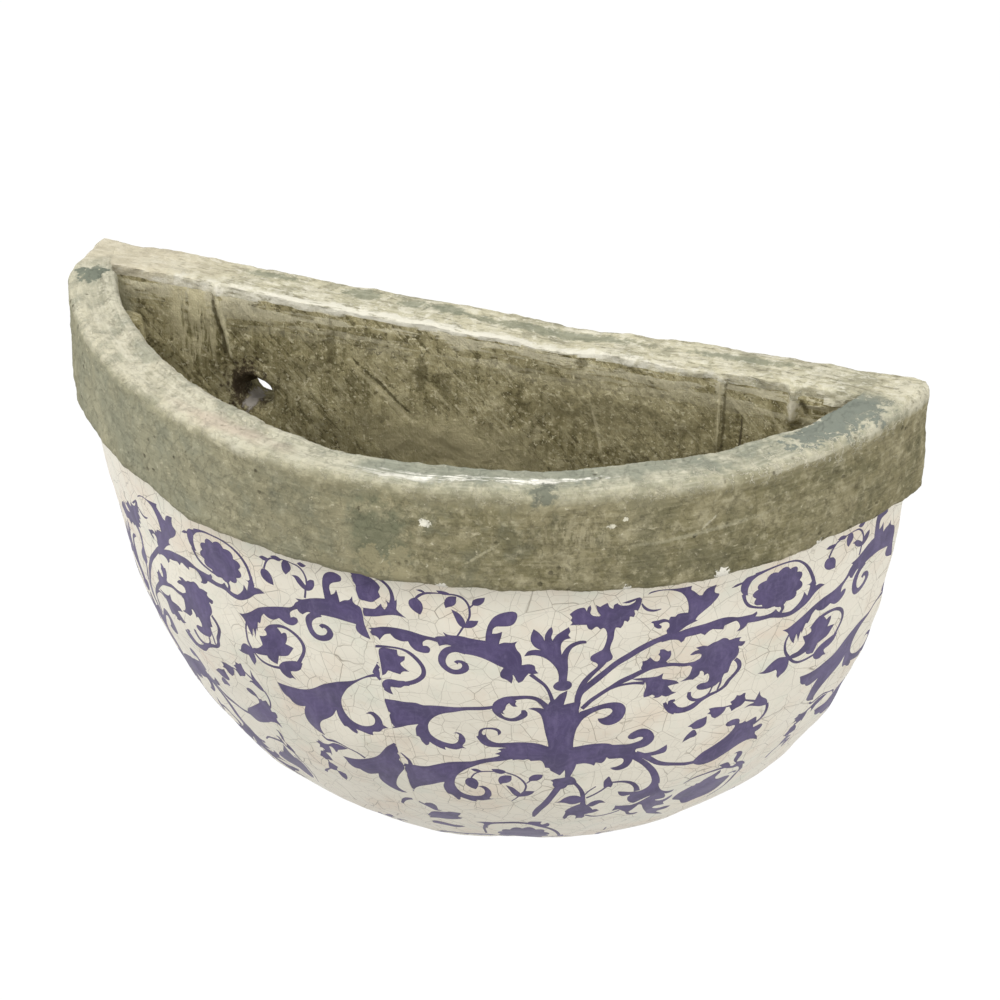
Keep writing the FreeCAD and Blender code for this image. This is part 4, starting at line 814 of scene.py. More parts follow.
def close_material(tree, base, relief, strength, distance, **inputs):
    """The bump of a relief, the surface shader and the output."""
    bump = add_node(tree, "Bump", Strength=strength, Distance=distance, Height=relief)
    shader = add_node(tree, "BsdfPrincipled", Base_Color=base, Normal=bump.outputs[0], **inputs)
    add_node(tree, "OutputMaterial", Surface=shader.outputs[0])


def ramp(tree, value, low, high, to_low=0.0, to_high=1.0):
    """Turns a stretch of values into another."""
    return add_node(tree, "MapRange", {"clamp": True}, Value=value, From_Min=low, From_Max=high,
                    To_Min=to_low, To_Max=to_high).outputs[0]


def maths(tree, operation, first, second=0.0):
    """One sum."""
    return add_node(tree, "Math", {"operation": operation}, i0=first, i1=second).outputs[0]


def blend_colour(tree, factor, first, second):
    """Mixes two colours."""
    return add_node(tree, "Mix", {"data_type": "RGBA"}, i0=factor, i6=first,
                    i7=second).outputs[2]


def noise(tree, vector, lump, detail=4.0, rough=0.55):
    """Noise whose lumps are about so many metres across, as a value round a half."""
    return add_node(tree, "TexNoise", Vector=vector, Scale=1 / lump, Detail=detail,
                    Roughness=rough).outputs[0]


def crisp(tree, value, edge, soft=0.02, reach=1.0):
    """Everything above an edge, or below it where soft is negative, with the edge nearly sharp,
    as a flake or a splash has."""
    return ramp(tree, value, edge - soft, edge + soft, 0.0, reach)


def arc_place(tree, place):
    """Coordinates that follow the rim: length round it, radius and height, in metres."""
    made = derived()
    parts = add_node(tree, "SeparateXYZ", Vector=place)
    back = maths(tree, "SUBTRACT", made["axis"], parts.outputs[1])
    turn = maths(tree, "ARCTAN2", parts.outputs[0], back)
    out = maths(tree, "SQRT", maths(tree, "ADD", maths(tree, "MULTIPLY", parts.outputs[0],
                                                       parts.outputs[0]),
                                    maths(tree, "MULTIPLY", back, back)))
    return add_node(tree, "CombineXYZ", X=maths(tree, "MULTIPLY", turn, made["collar"]), Y=out,
                    Z=parts.outputs[2]).outputs[0]


def stretched(tree, vector, *scale):
    """Coordinates scaled along each axis, for lumps that are longer one way."""
    return add_node(tree, "Mapping", Vector=vector, Scale=scale).outputs[0]


def spot(tree, vector, ragged, centre, reach, soft=0.10):
    """A patch with a ragged edge round a centre, both in millimetres."""
    away = add_node(tree, "VectorMath", {"operation": "SUBTRACT"}, i0=vector,
                    i1=[c * MM for c in centre]).outputs[0]
    away = add_node(tree, "VectorMath", {"operation": "DIVIDE"}, i0=away,
                    i1=[r * MM for r in reach]).outputs[0]
    length = add_node(tree, "VectorMath", {"operation": "LENGTH"}, i0=away).outputs[1]
    length = maths(tree, "ADD", length, maths(tree, "MULTIPLY", ragged, 3.2))
    return ramp(tree, length, 2.6 + soft, 2.6 - soft)


def streak(tree, vector, ragged, start, end, width, away, soft=0.3):
    """A narrow streak from one (x, z) to another, in millimetres, with ragged sides. Away is the
    middle coordinate that it lies at and how far from there it still shows."""
    turn = -math.atan2(end[0] - start[0], end[1] - start[1])
    turned = add_node(tree, "Mapping", Vector=vector, Rotation=(0.0, turn, 0.0)).outputs[0]
    across, up = (start[0] + end[0]) / 2, (start[1] + end[1]) / 2
    centre = (math.cos(turn) * across + math.sin(turn) * up, away[0],
              math.cos(turn) * up - math.sin(turn) * across)
    half = math.hypot(end[0] - start[0], end[1] - start[1]) / 2
    return spot(tree, turned, ragged, centre, (width, away[1], half), soft)


def layers(tree, base, *coats):
    """Lays coats of colour over a base. Before its colour, each coat has the share that it
    covers, as one value or as two that are multiplied."""
    for *shares, colour in coats:
        share = maths(tree, "MULTIPLY", *shares) if len(shares) == 2 else shares[0]
        base = blend_colour(tree, share, base, colour)
    return base


def heaped(tree, *parts):
    """A relief added up from parts, each with its height."""
    total = None
    for value, height in parts:
        part = maths(tree, "MULTIPLY", value, height)
        total = part if total is None else maths(tree, "ADD", total, part)
    return total


def with_alpha(colour):
    """A colour that a user can change, as a shader takes it."""
    return tuple(colour) + (1.0,)


def trowelled(tree, place):
    """Colour and relief of cement trowelled along the wall: pale, with short streaks."""
    along = noise(tree, stretched(tree, place, 0.26, 1.0, 1.0), 0.0035, 6.0, 0.64)
    fine = noise(tree, stretched(tree, place, 0.24, 1.0, 1.0), 0.0016, 4.0, 0.6)
    crust = noise(tree, place, 0.016, 9.0, 0.68)
    broad = noise(tree, place, 0.034, 6.0, 0.62)
    small = noise(tree, place, 0.0042, 7.0, 0.66)
    base = layers(
        tree, "#bdb79c",
        (ramp(tree, broad, 0.44, 0.58, 0.0, 0.75), "#a09c84"),
        (ramp(tree, along, 0.50, 0.62, 0.0, 0.6), "#cec9b0"),
        (ramp(tree, along, 0.46, 0.35, 0.0, 0.65), "#827d69"),
        (crisp(tree, crust, 0.55, 0.03, 0.5), "#d2cdb9"),
        (crisp(tree, crust, 0.44, -0.03, 0.5), "#858370"),
        (crisp(tree, small, 0.58, 0.03, 0.5), "#dcd8c6"),
        (ramp(tree, small, 0.45, 0.36, 0.0, 0.5), "#77735f"),
        (crisp(tree, fine, 0.61, 0.02, 0.5), "#e0dccb"),
        (crisp(tree, fine, 0.40, -0.02, 0.5), "#6b6652"),
        (spot(tree, place, crust, (-168, -10, 49), (46, 30, 30), 0.5), 0.55, "#c5bba5"))
    return base, heaped(tree, (small, 0.9), (crust, 1.8), (along, 0.7)), along, small


def brushed_cement():
    """Cement slurry brushed on by hand and weathered. Matt and olive grey, with fine streaks
    round the rim, greener stains with torn edges, pale lime rubbed along the top edge with a
    painted highlight streak on it, and a top face bleached cream and blue grey."""
    material, tree, place = new_material("brushed_cement")
    colour, made = colours(), derived()
    arc = arc_place(tree, place)
    height = add_node(tree, "SeparateXYZ", Vector=arc).outputs[2]
    brush = noise(tree, stretched(tree, arc, 0.04, 1.0, 1.0), 0.0011, 3.0, 0.6)
    down = noise(tree, stretched(tree, arc, 1.0, 1.0, 0.22), 0.011, 4.0, 0.6)
    broad = noise(tree, place, 0.050, 6.0, 0.62)
    crust = noise(tree, place, 0.016, 9.0, 0.68)
    small = noise(tree, place, 0.0042, 7.0, 0.66)
    grain = noise(tree, place, 0.0013, 4.0, 0.7)
    base = layers(
        tree, with_alpha(colour.cement),
        (ramp(tree, broad, 0.40, 0.60, 0.0, 0.75), with_alpha(colour.cement_dark)),
        (ramp(tree, down, 0.50, 0.60, 0.0, 0.45), "#7f7a5e"),
        (crisp(tree, crust, 0.535, 0.012, 0.40), "#a39b7c"),
        (crisp(tree, crust, 0.60, 0.010, 0.45), "#b5ad8e"),
        (crisp(tree, crust, 0.455, -0.012, 0.40), "#6e6b50"),
        (crisp(tree, crust, 0.40, -0.012, 0.40), "#5f5b42"),
        (ramp(tree, brush, 0.50, 0.66, 0.0, 0.32), "#aaa285"),
        (ramp(tree, brush, 0.48, 0.34, 0.0, 0.26), "#6c6649"),
        (ramp(tree, small, 0.53, 0.64, 0.0, 0.55), "#b5ad8f"),
        (ramp(tree, small, 0.46, 0.35, 0.0, 0.55), "#5f5940"))
    # stains on the side, pale flakes, scratches and bits of lime
    for centre, reach, soft, share, shade in (
            ((-150, 196, 22), (110, 60, 60), 0.9, 0.5, "#a3a592"),
            ((6, 196, 26), (13, 30, 17), 0.25, 0.75, "#6f725b"),
            ((3.7, 196, 13), (6, 30, 6.5), 0.1, 0.7, "#9b9373"),
            ((14.8, 196, 13), (5, 30, 7.5), 0.1, 0.7, "#9d9575"),
            ((-8, 196, 22), (3.5, 30, 13), 0.5, 0.5, "#aaa283"),
            ((58.3, 196, 29.5), (2.8, 30, 5.4), 0.25, 0.55, "#6d684c"),
            ((111.5, 196, 30), (4.5, 30, 24), 0.7, 0.45, "#716e57"),
            ((133.5, 196, 13.5), (9.5, 30, 7), 0.4, 0.5, "#6c684f"),
            ((130.5, 196, 26), (1.1, 30, 0.9), 0.2, 0.8, "#4a4636")):
        ragged = small if reach[0] < FINE_SPOT else crust
        base = layers(tree, base, (spot(tree, arc, ragged, centre, reach, soft), share, shade))
    rubbed = noise(tree, stretched(tree, arc, 1.0, 1.0, 0.35), 0.0014, 4.0, 0.6)
    side = (196, 30)
    base = layers(
        tree, base,
        (spot(tree, arc, crust, (82, 196, 32), (14, 30, 6.5), 0.5),
         crisp(tree, rubbed, 0.52, 0.04, 0.42), "#b9b091"),
        (streak(tree, arc, grain, (110, 25.4), (159, 28.2), 0.8, side, 0.5), 0.4, "#b7b297"),
        (streak(tree, arc, grain, (132.9, 28), (139.5, 33), 0.5, side), 0.6, "#c9c3aa"),
        (streak(tree, arc, grain, (41, 17), (53, 26.4), 0.6, side), 0.5, "#bdb697"),
        (streak(tree, arc, small, (160, 45.0), (219, 48.4), 0.7, side), 0.85, "#d8d2ba"),
        (spot(tree, arc, grain, (24.9, 196, 33.2), (2.3, 30, 1.5)), "#e4e0cf"),
        (spot(tree, arc, grain, (97.1, 196, 34.6), (1.5, 30, 0.9)), "#d8d3bd"),
        (spot(tree, arc, grain, (102.5, 196, 37.2), (0.9, 30, 0.9)), "#d8d3bd"),
        (crisp(tree, noise(tree, stretched(tree, arc, 0.30, 1.0, 1.0), 0.0024, 5.0, 0.7), 0.655,
               0.012, 0.6), "#c3bb9e"))
    # the bleached top face
    top = ramp(tree, maths(tree, "ADD", height, maths(tree, "MULTIPLY", crust, 0.006)),
               made["top"] - 0.0018, made["top"] + 0.0015)
    torn = ramp(tree, maths(tree, "ABSOLUTE", maths(tree, "SUBTRACT", noise(
        tree, place, 0.0075, 6.0, 0.62), 0.5)), 0.016, 0.005)
    bleached = layers(
        tree, "#adab95",
        (ramp(tree, broad, 0.42, 0.60, 0.0, 0.8), "#949481"),
        (spot(tree, arc, crust, (-130, 187, 49), (95, 30, 30), 0.5), 0.8, "#bfb8a2"),
        (crisp(tree, crust, 0.53, 0.05, 0.55), "#cac5b0"),
        (crisp(tree, crust, 0.455, -0.05, 0.55), "#878a7a"),
        (ramp(tree, brush, 0.50, 0.64, 0.0, 0.42), "#d0ccb9"),
        (ramp(tree, brush, 0.46, 0.36, 0.0, 0.25), "#8a8c7c"),
        (ramp(tree, small, 0.54, 0.64, 0.0, 0.4), "#d7d3c0"),
        (ramp(tree, small, 0.46, 0.36, 0.0, 0.4), "#7f7d69"),
        (spot(tree, arc, crust, (-70, 188, 49), (26, 4, 30), 0.6), 0.5, "#cdb9a8"),
        (spot(tree, arc, crust, (70, 181, 49), (80, 8, 30), 0.3), 0.7, "#868a7c"),
        (spot(tree, arc, small, (208, 185, 49), (29, 9, 30), 0.08), "#7a8076"),
        (spot(tree, arc, small, (-221, 185.5, 49), (6, 7, 30), 0.08), "#6f7568"))
    base = layers(tree, base, (top, 0.92, bleached))
    # the two ends are trowelled as the coping is, so that the joint doesn't show
    wall, wall_relief, _, _ = trowelled(tree, place)
    depth = add_node(tree, "SeparateXYZ", Vector=place).outputs[1]
    ends = maths(tree, "MULTIPLY", top, ramp(tree, maths(tree, "ADD", depth, maths(
        tree, "MULTIPLY", crust, 0.012)), -0.022, -0.010))
    base = blend_colour(tree, ends, base, wall)
    # torn, lime-rubbed outer top edge, with a painted highlight streak along it
    # in front of the middle
    rim = spot(tree, arc, crust, (0, 193.0, 47.0), (4000, 5.0, 4.0), 0.4)
    khaki = spot(tree, arc, crust, (60, 195.0, 45.5), (150, 3.2, 4.0), 0.4)
    right = spot(tree, arc, crust, (190, 192.5, 47.0), (62, 6.0, 5.5), 0.4)
    base = layers(
        tree, base,
        (khaki, 0.5, "#918b6f"),
        (rim, crisp(tree, small, 0.53, 0.05, 0.32), "#bdb699"),
        (rim, maths(tree, "MULTIPLY", torn, 0.35), "#d6cfb5"),
        (right, maths(tree, "MULTIPLY", torn, 0.75), "#dcd6bf"),
        # a white streak on the round top edge, a painted highlight
        (spot(tree, arc, small, (14, 187.0, 49.5), (20, 3.0, 4), 0.4),
         ramp(tree, brush, 0.42, 0.58, 0.1, 0.9), "#dfdccf"),
        (spot(tree, arc, small, (52, 186.2, 49.5), (36, 1.9, 4), 0.25),
         crisp(tree, brush, 0.49, 0.04), "#ebe8dc"),
        (spot(tree, arc, small, (70.7, 193.0, 46.6), (5.2, 4.5, 4.4), 0.2), 0.8, "#676b5e"))
    # torn bits of the glazed sheets, caught in the lower edge
    for turn, low, wide, high in ((31.5, 4.6, 2.8, 2.0), (104.0, 5.0, 1.6, 2.4),
                                  (143.1, 5.0, 3.2, 2.8), (188.8, 4.8, 2.0, 2.4)):
        base = blend_colour(tree, spot(tree, arc, grain, (turn, 196, low), (wide, 30, high), 0.1),
                            base, "#e9e5d8")
    specks = crisp(tree, noise(tree, place, 0.0021, 3.0, 0.6), 0.695, 0.015, 0.6)
    base = blend_colour(tree, specks, base, "#ccc5aa")
    pits = add_node(tree, "TexVoronoi", {"feature": "F1"}, Vector=place, Scale=1 / 0.0047,
                    Randomness=1.0).outputs["Distance"]
    pit = maths(tree, "MULTIPLY", ramp(tree, pits, 0.26, 0.12),
                crisp(tree, noise(tree, place, 0.021, 3.0), 0.60, 0.02))
    base = layers(tree, base, (pit, 0.7, "#4a4531"))
    relief = heaped(tree, (brush, 0.22), (small, 0.9), (crust, 1.6), (grain, 0.25), (pit, -0.8),
                    (torn, 0.25))
    relief = add_node(tree, "Mix", {"data_type": "FLOAT"}, i0=ends, i2=relief,
                      i3=wall_relief).outputs[0]
    close_material(tree, base, relief, 0.8, 0.0011, Roughness=0.92, Specular_IOR_Level=0.25)
    return material


def coping_cement():
    """The paler cement trowelled flat on the back. Cream yellow, streaked along the wall, with
    grey-green ovals where the trowel rested and a white, torn front edge that is partly a
    painted highlight."""
    material, tree, place = new_material("trowelled_cement")
    size = sizes()
    base, relief, along, small = trowelled(tree, place)
    for centre, reach in (((-55, -6.5, 49), (8, 3.6, 20)), ((-33, -6.5, 49), (6, 3.2, 20)),
                          ((-17, -6.5, 49), (7, 3.6, 20)), ((30, -8, 49), (40, 3.0, 20)),
                          ((-98, -6, 49), (12, 2.4, 20)), ((112, -8, 49), (22, 2.4, 20))):
        base = layers(tree, base, (spot(tree, place, small, centre, reach, 0.3), 0.7, "#7b7e6a"))
    # the white, torn front edge, partly a painted highlight
    edge = spot(tree, place, small, (-28, -size.slab / MM + 1, 48.5), (112, 3.2, 3.2), 0.25)
    base = layers(tree, base, (edge, crisp(tree, along, 0.42, 0.04, 0.9), "#dcd8c8"))
    close_material(tree, base, relief, 0.8, 0.0012, Roughness=0.94, Specular_IOR_Level=0.2)
    return material


def washed_clay():
    """Coarse fired clay washed over with thin slurry. Matt khaki, drawn down and slantwise in
    trowel marks, speckled with lime grit, paler under the rim and darker deeper down in the bowl,
    which is painted shade. The folds and the left hanging hole carry painted light and shade."""
    material, tree, place = new_material("slurry_washed_clay")
    colour, made, size = colours(), derived(), sizes()
    height = add_node(tree, "SeparateXYZ", Vector=place).outputs[2]
    slant = add_node(tree, "Mapping", Vector=place, Rotation=(0.0, 0.75, 0.0)).outputs[0]
    marks = noise(tree, stretched(tree, place, 1.0, 1.0, 0.12), 0.0042, 6.0, 0.66)
    scratches = noise(tree, stretched(tree, slant, 1.0, 1.0, 0.06), 0.0018, 4.0, 0.6)
    along = noise(tree, stretched(tree, place, 0.10, 1.0, 1.0), 0.0030, 6.0, 0.64)
    broad = noise(tree, place, 0.045, 7.0, 0.64)
    crust = noise(tree, place, 0.020, 10.0, 0.72)
    small = noise(tree, place, 0.0036, 7.0, 0.72)
    grain = noise(tree, place, 0.0012, 4.0, 0.7)
    base = layers(
        tree, with_alpha(colour.clay),
        (ramp(tree, broad, 0.42, 0.60, 0.0, 0.85), with_alpha(colour.clay_dark)),
        (ramp(tree, marks, 0.50, 0.62, 0.0, 0.55), "#b5ac88"),
        (ramp(tree, marks, 0.48, 0.36, 0.0, 0.6), "#5b5435"),
        (crisp(tree, crust, 0.54, 0.012, 0.4), "#a79e7a"),
        (crisp(tree, crust, 0.60, 0.012, 0.5), "#bdb491"),
        (crisp(tree, crust, 0.45, -0.012, 0.45), "#6b6445"),
        (crisp(tree, crust, 0.39, -0.012, 0.45), "#544d32"),
        (crisp(tree, scratches, 0.61, 0.015, 0.55), "#c6bd9b"),
        (crisp(tree, scratches, 0.385, -0.015, 0.5), "#4a432a"),
        (crisp(tree, small, 0.57, 0.02, 0.6), "#bfb693"),
        (crisp(tree, small, 0.42, -0.02, 0.65), "#474028"))
    rim = ramp(tree, height, made["top"] - 0.020, made["top"] - 0.002)
    pale = maths(tree, "MULTIPLY", rim, crisp(tree, along, 0.49, 0.03))
    specks = crisp(tree, noise(tree, place, 0.0020, 3.0, 0.6), 0.625, 0.015, 0.85)
    base = layers(
        tree, base, (pale, 0.8, "#d6cfb4"), (specks, "#d0c8a7"),
        (spot(tree, place, crust, (-126, -22, 32), (10, 12, 18), 0.3),
         crisp(tree, marks, 0.49, 0.03, 0.9), "#cbc29e"),
        (spot(tree, place, crust, (-164, -28, 36), (11, 22, 19), 0.2), 0.75, "#a5a188"),
        # painted shade: darker deeper down in the bowl
        (ramp(tree, height, 0.000, -0.12, 0.0, 0.40), "#4f482d"),
        (spot(tree, place, crust, (-8, -22, -6), (30, 12, 12), 0.7), 0.9, "#c2b892"),
        (spot(tree, place, crust, (64, -22, 24), (34, 12, 16), 0.6), 0.35, "#b0a783"))
    # painted highlight and painted shade along the folds and the groove, and the drips
    for start, end, width, shade, share in CLAY_STREAKS_AND_PAINTED_LIGHT:
        line = streak(tree, place, small, start, end, width, (-size.slab / MM, 9))
        base = layers(tree, base, (line, share, shade))
    # painted shade inside the torn mouth of the left hanging hole, pale torn clay at its top, and
    # painted light on the bore's floor where light falls into it from behind
    base = layers(
        tree, base,
        (spot(tree, place, small, (-103, -20, 3), (8.5, 14, 12), 0.2), 0.85, "#3f3229"),
        (spot(tree, place, small, (-103, -22, 10), (6, 5, 4), 0.4),
         crisp(tree, small, 0.53, 0.02, 0.8), "#8f8266"),
        (spot(tree, place, small, (-103.4, -13.0, -6.4), (3.2, 8.0, 3.2), 0.2), "#b0a9a0"))
    relief = heaped(tree, (marks, 1.2), (small, 0.9), (crust, 2.2), (scratches, 0.5),
                    (grain, 0.25))
    close_material(tree, base, relief, 0.85, 0.0012, Roughness=0.95, Specular_IOR_Level=0.2)
    return material


def crackle(tree, place):
    """The lines of a crackled glaze: wide cells with a few fine cracks inside them. Each line is
    about a quarter of a millimetre wide, drawn a little wider so that it shows."""
    shaken = add_node(tree, "TexNoise", Vector=place, Scale=1 / 0.010, Detail=2.0)
    pull = add_node(tree, "VectorMath", {"operation": "SCALE"}, i0=shaken.outputs[1],
                    Scale=0.0022).outputs[0]
    moved = add_node(tree, "VectorMath", {"operation": "ADD"}, i0=place, i1=pull).outputs[0]
    lines = None
    for cell, width, strength in ((0.0115, 0.015, 1.0), (0.0058, 0.020, 0.55)):
        edge = add_node(tree, "TexVoronoi", {"feature": "DISTANCE_TO_EDGE"}, Vector=moved,
                        Scale=1 / cell).outputs["Distance"]
        line = ramp(tree, edge, width, 0.0, 0.0, strength)
        lines = line if lines is None else maths(tree, "MAXIMUM", lines, line)
    broken = ramp(tree, noise(tree, place, 0.030, 3.0), 0.36, 0.56, 0.35, 1.0)
    return maths(tree, "MULTIPLY", lines, broken)


def crackle_glaze():
    """Cream tin glaze over a printed sheet, satin, crazed by heat: cream with peach and cooler
    clouds, thin grey-brown cracks."""
    material, tree, place = new_material("crackle_glaze")
    colour = colours()
    clouds_wide = noise(tree, place, 0.030, 4.0, 0.6)
    clouds_cool = noise(tree, add_node(tree, "Mapping", Vector=place,
                                       Location=(0.4, 0.1, 0.2)).outputs[0], 0.024, 4.0, 0.6)
    dust = noise(tree, place, 0.0035, 4.0, 0.6)
    cracks = crackle(tree, place)
    base = layers(
        tree, with_alpha(colour.glaze),
        (ramp(tree, clouds_wide, 0.50, 0.70, 0.0, 0.8), "#e6d6c2"),
        (ramp(tree, clouds_cool, 0.52, 0.70, 0.0, 0.7), "#dfe0d0"),
        (ramp(tree, dust, 0.58, 0.74, 0.0, 0.25), "#cbbfa2"),
        (cracks, 0.85, "#7b705f"))
    relief = heaped(tree, (noise(tree, place, 0.006, 3.0), 0.35), (cracks, -0.25))
    close_material(tree, base, relief, 0.35, 0.0006, Roughness=0.42, IOR=1.5,
                   Specular_IOR_Level=0.35)
    return material


def printed_ink():
    """Violet-blue ceramic ink under the glaze. Strokes follow each leaf's outline, deep and
    brownish at the edge and paler where the brush ran thin."""
    material, tree, place = new_material("printed_violet_ink")
    colour = colours()
    depth = add_node(tree, "Attribute", {"attribute_name": "ink_depth"}).outputs["Fac"]
    shaken = noise(tree, place, 0.008, 4.0, 0.6)
    stroke = maths(tree, "SINE", maths(tree, "ADD", maths(tree, "MULTIPLY", depth, 2.6),
                                       maths(tree, "MULTIPLY", shaken, 16.0)))
    broad = noise(tree, place, 0.014, 5.0, 0.6)
    base = layers(
        tree, with_alpha(colour.ink),
        (ramp(tree, broad, 0.44, 0.58, 0.0, 0.8), with_alpha(colour.ink_dark)),
        (ramp(tree, stroke, 0.45, 1.0, 0.0, 0.14), "#746a90"),
        (ramp(tree, noise(tree, stretched(tree, place, 1.0, 1.0, 0.35), 0.0040, 5.0, 0.65), 0.52,
              0.66, 0.0, 0.4), "#75698f"),
        (ramp(tree, stroke, -0.65, -1.0, 0.0, 0.18), "#3f3858"),
        (ramp(tree, depth, 0.7, 0.0, 0.0, 0.5), "#463c57"),
        (crackle(tree, place), 0.35, "#362e4c"))
    relief = heaped(tree, (noise(tree, place, 0.006, 3.0), 0.35))
    close_material(tree, base, relief, 0.35, 0.0006, Roughness=0.45, IOR=1.5,
                   Specular_IOR_Level=0.35)
    return material


def material_named(name, make):
    """One copy of a material, made when it is first wanted."""
    return bpy.data.materials.get(name) or make()


def drawn_line(points, closed):
    """A smooth line through the given points, with its sharp points kept."""
    count = len(points)
    sharp = [closed and len(p) > 2 and p[2] == 1 for p in points]
    line = []
    for i in range(count if closed else count - 1):
        here, there = np.array(points[i][:2]), np.array(points[(i + 1) % count][:2])
        before = np.array(points[i - 1][:2]) if closed or i else here
        after = np.array(points[(i + 2) % count][:2]) if closed or i + 2 < count else there
        leave = there - here if sharp[i] else (there - before) / 2
        arrive = there - here if sharp[(i + 1) % count] else (after - here) / 2
        parts = max(1, round(float(np.linalg.norm(there - here)) / LINE_STEP))
        for k in range(parts):
            t = k / parts
            line.append(here * (2 * t ** 3 - 3 * t * t + 1) + leave * (t ** 3 - 2 * t * t + t)
                        + there * (3 * t * t - 2 * t ** 3) + arrive * (t ** 3 - t * t))
    if not closed:
        line.append(np.array(points[-1][:2]))
    return line


def stem_outline(points):
    """The outline of a stem, from its middle line and its half widths."""
    line = drawn_line(points, False)
    lengths = [0.0]
    for before, after in zip(line, line[1:]):
        lengths.append(lengths[-1] + float(np.linalg.norm(after - before)))
    marks = [0.0]
    for before, after in zip(points, points[1:]):
        marks.append(marks[-1] + math.hypot(after[0] - before[0], after[1] - before[1]))
    widths = np.interp(np.array(lengths) / lengths[-1], np.array(marks) / marks[-1],
                       [p[2] for p in points])
    left, right = [], []
    for i, point in enumerate(line):
        run = line[min(i + 1, len(line) - 1)] - line[max(i - 1, 0)]
        side = np.array((-run[1], run[0])) / (np.linalg.norm(run) or 1.0) * widths[i]
        left.append(point + side)
        right.append(point - side)
    return left + right[::-1]


def scalloped(centre, radii, petals):
    """A round flower whose petals bulge out and meet in notches."""
    outline = []
    for i in range(petals * 6):
        turn = 2 * math.pi * i / (petals * 6)
        reach = 0.92 + 0.15 * abs(math.sin(turn * petals / 2))
        outline.append((centre[0] + radii[0] * reach * math.cos(turn),
                        centre[1] + radii[1] * reach * math.sin(turn)))
    return outline


def seam_at(along):
    """Where the two glazed sheets meet, in millimetres from the middle. The seam drifts to the
    right on its way down."""
    return np.interp(along, (0, 17, 22, 37, 66, 84, 100, 120, 137, 270),
                     (-10, -5, -3.8, -0.8, 1.3, 3.3, 4.0, 5.4, 5.7, 6.5))


def printed_shapes(side):
    """The outlines of the print on one sheet, in millimetres from the planter's middle line. The
    second sheet is the same print, laid a little lower and further round at its far end. Lower
    down the print starts again, half a sheet to the side."""
    drawn = [drawn_line(points, True) for points in LEAVES_AND_FLOWERS]
    drawn += [stem_outline(points) for points in STEMS]
    drawn += [scalloped(*peony) for peony in PEONIES]
    shapes = []
    for outline in drawn:
        outline = np.array(outline)
        if side < 0:
            way = np.maximum(SKEW_FROM - outline[:, 0], 0)
            turned = np.clip(way / SKEW_EASE, 0, 1)
            outline[:, 0] += SHEET_DRIFT * (outline[:, 1] - SKEW_LEVEL) * turned - SHEET_WIDTH
            outline[:, 1] += SHEET_SINK * way ** 2
        shapes.append(outline)
    for outline in drawn:
        for shift in (REPEAT_ACROSS, REPEAT_ACROSS + SHEET_WIDTH):
            again = np.array(outline) + (shift, REPEAT_DOWN)
            middle = again[:, 0].mean()
            if again[:, 1].min() > PRINT_END and REPEAT_REACH[0] < middle < REPEAT_REACH[1]:
                if side < 0:
                    again[:, 0] -= SHEET_WIDTH
                shapes.append(again)
    return shapes


def crossings(outline, x, y):
    """Which of many points lie inside an outline, by how often it winds round them."""
    winding = np.zeros(len(x), dtype=int)
    x0, y0 = outline[-1]
    for x1, y1 in outline:
        left = (x1 - x0) * (y - y0) - (x - x0) * (y1 - y0)
        winding += ((y0 <= y) & (y1 > y) & (left > 0)).astype(int)
        winding -= ((y0 > y) & (y1 <= y) & (left < 0)).astype(int)
        x0, y0 = x1, y1
    return winding != 0


def sheet_edge(side):
    """The outline of one glazed sheet, laid flat: along the seam, round the wall plane, and along
    its top edge under the collar."""
    made, size = derived(), sizes()
    top, end = -(size.collar_height - size.lip) / MM, side_end() / MM
    gap = SEAM_SEEN / 2
    rows = np.linspace(top, end, 150)
    seam, wall = [], []
    for row in rows:
        reach = side_point(row * MM)[0]
        limit = math.acos(min(1.0, made["axis"] / reach)) * made["glaze"] / MM
        line = seam_at(row) + side * gap
        if side * line >= limit - 1:
            break
        seam.append((line, row))
        wall.append((side * limit, row))
    return np.array(seam + wall[::-1])


def laid_on_bowl(across, along):
    """A point of the flat sheet, put on the bowl."""
    made = derived()
    turn = across * MM / made["glaze"]
    reach, height = side_point(along * MM)
    return (reach * math.sin(turn), made["axis"] - reach * math.cos(turn), height)


def ink_depths(spots, faces, inked):
    """How far each inked point lies from the edge of its ink, in millimetres."""
    in_ink, in_glaze = (np.zeros(len(spots), dtype=bool) for _ in range(2))
    in_ink[faces[inked].ravel()] = True
    in_glaze[faces[~inked].ravel()] = True
    edge = spots[in_ink & in_glaze]
    tree = KDTree(len(edge))
    for number, point in enumerate(edge):
        tree.insert((*point, 0.0), number)
    tree.balance()
    depths = np.zeros(len(spots))
    for number in np.flatnonzero(in_ink & ~in_glaze):
        depths[number] = tree.find((*spots[number], 0.0))[2]
    return depths


def cut_with(obj, drill):
    """Takes a drill's form out of a piece, and the drill away."""
    bpy.ops.object.transform_apply(location=True, rotation=True, scale=True)
    apply_modifier(obj, "BOOLEAN", object=drill, operation="DIFFERENCE", solver="EXACT")
    bpy.data.objects.remove(drill)


def drill_drain(obj):
    """Drills the drain hole straight down through a piece."""
    size = sizes()
    clear_selection()
    bpy.ops.mesh.primitive_cylinder_add(
        vertices=40, radius=size.drain / 2, depth=DRILL_LENGTH,
        location=(0, -size.slab - size.drain_setback, side_point(side_end() - 0.05)[1]))
    cut_with(obj, bpy.context.object)
    start = Vector((0.002, -size.slab - size.drain_setback, 0.1))
    if obj.ray_cast(start, Vector((0, 0, -1)))[0]:
        raise RuntimeError("the drain hole isn't open")


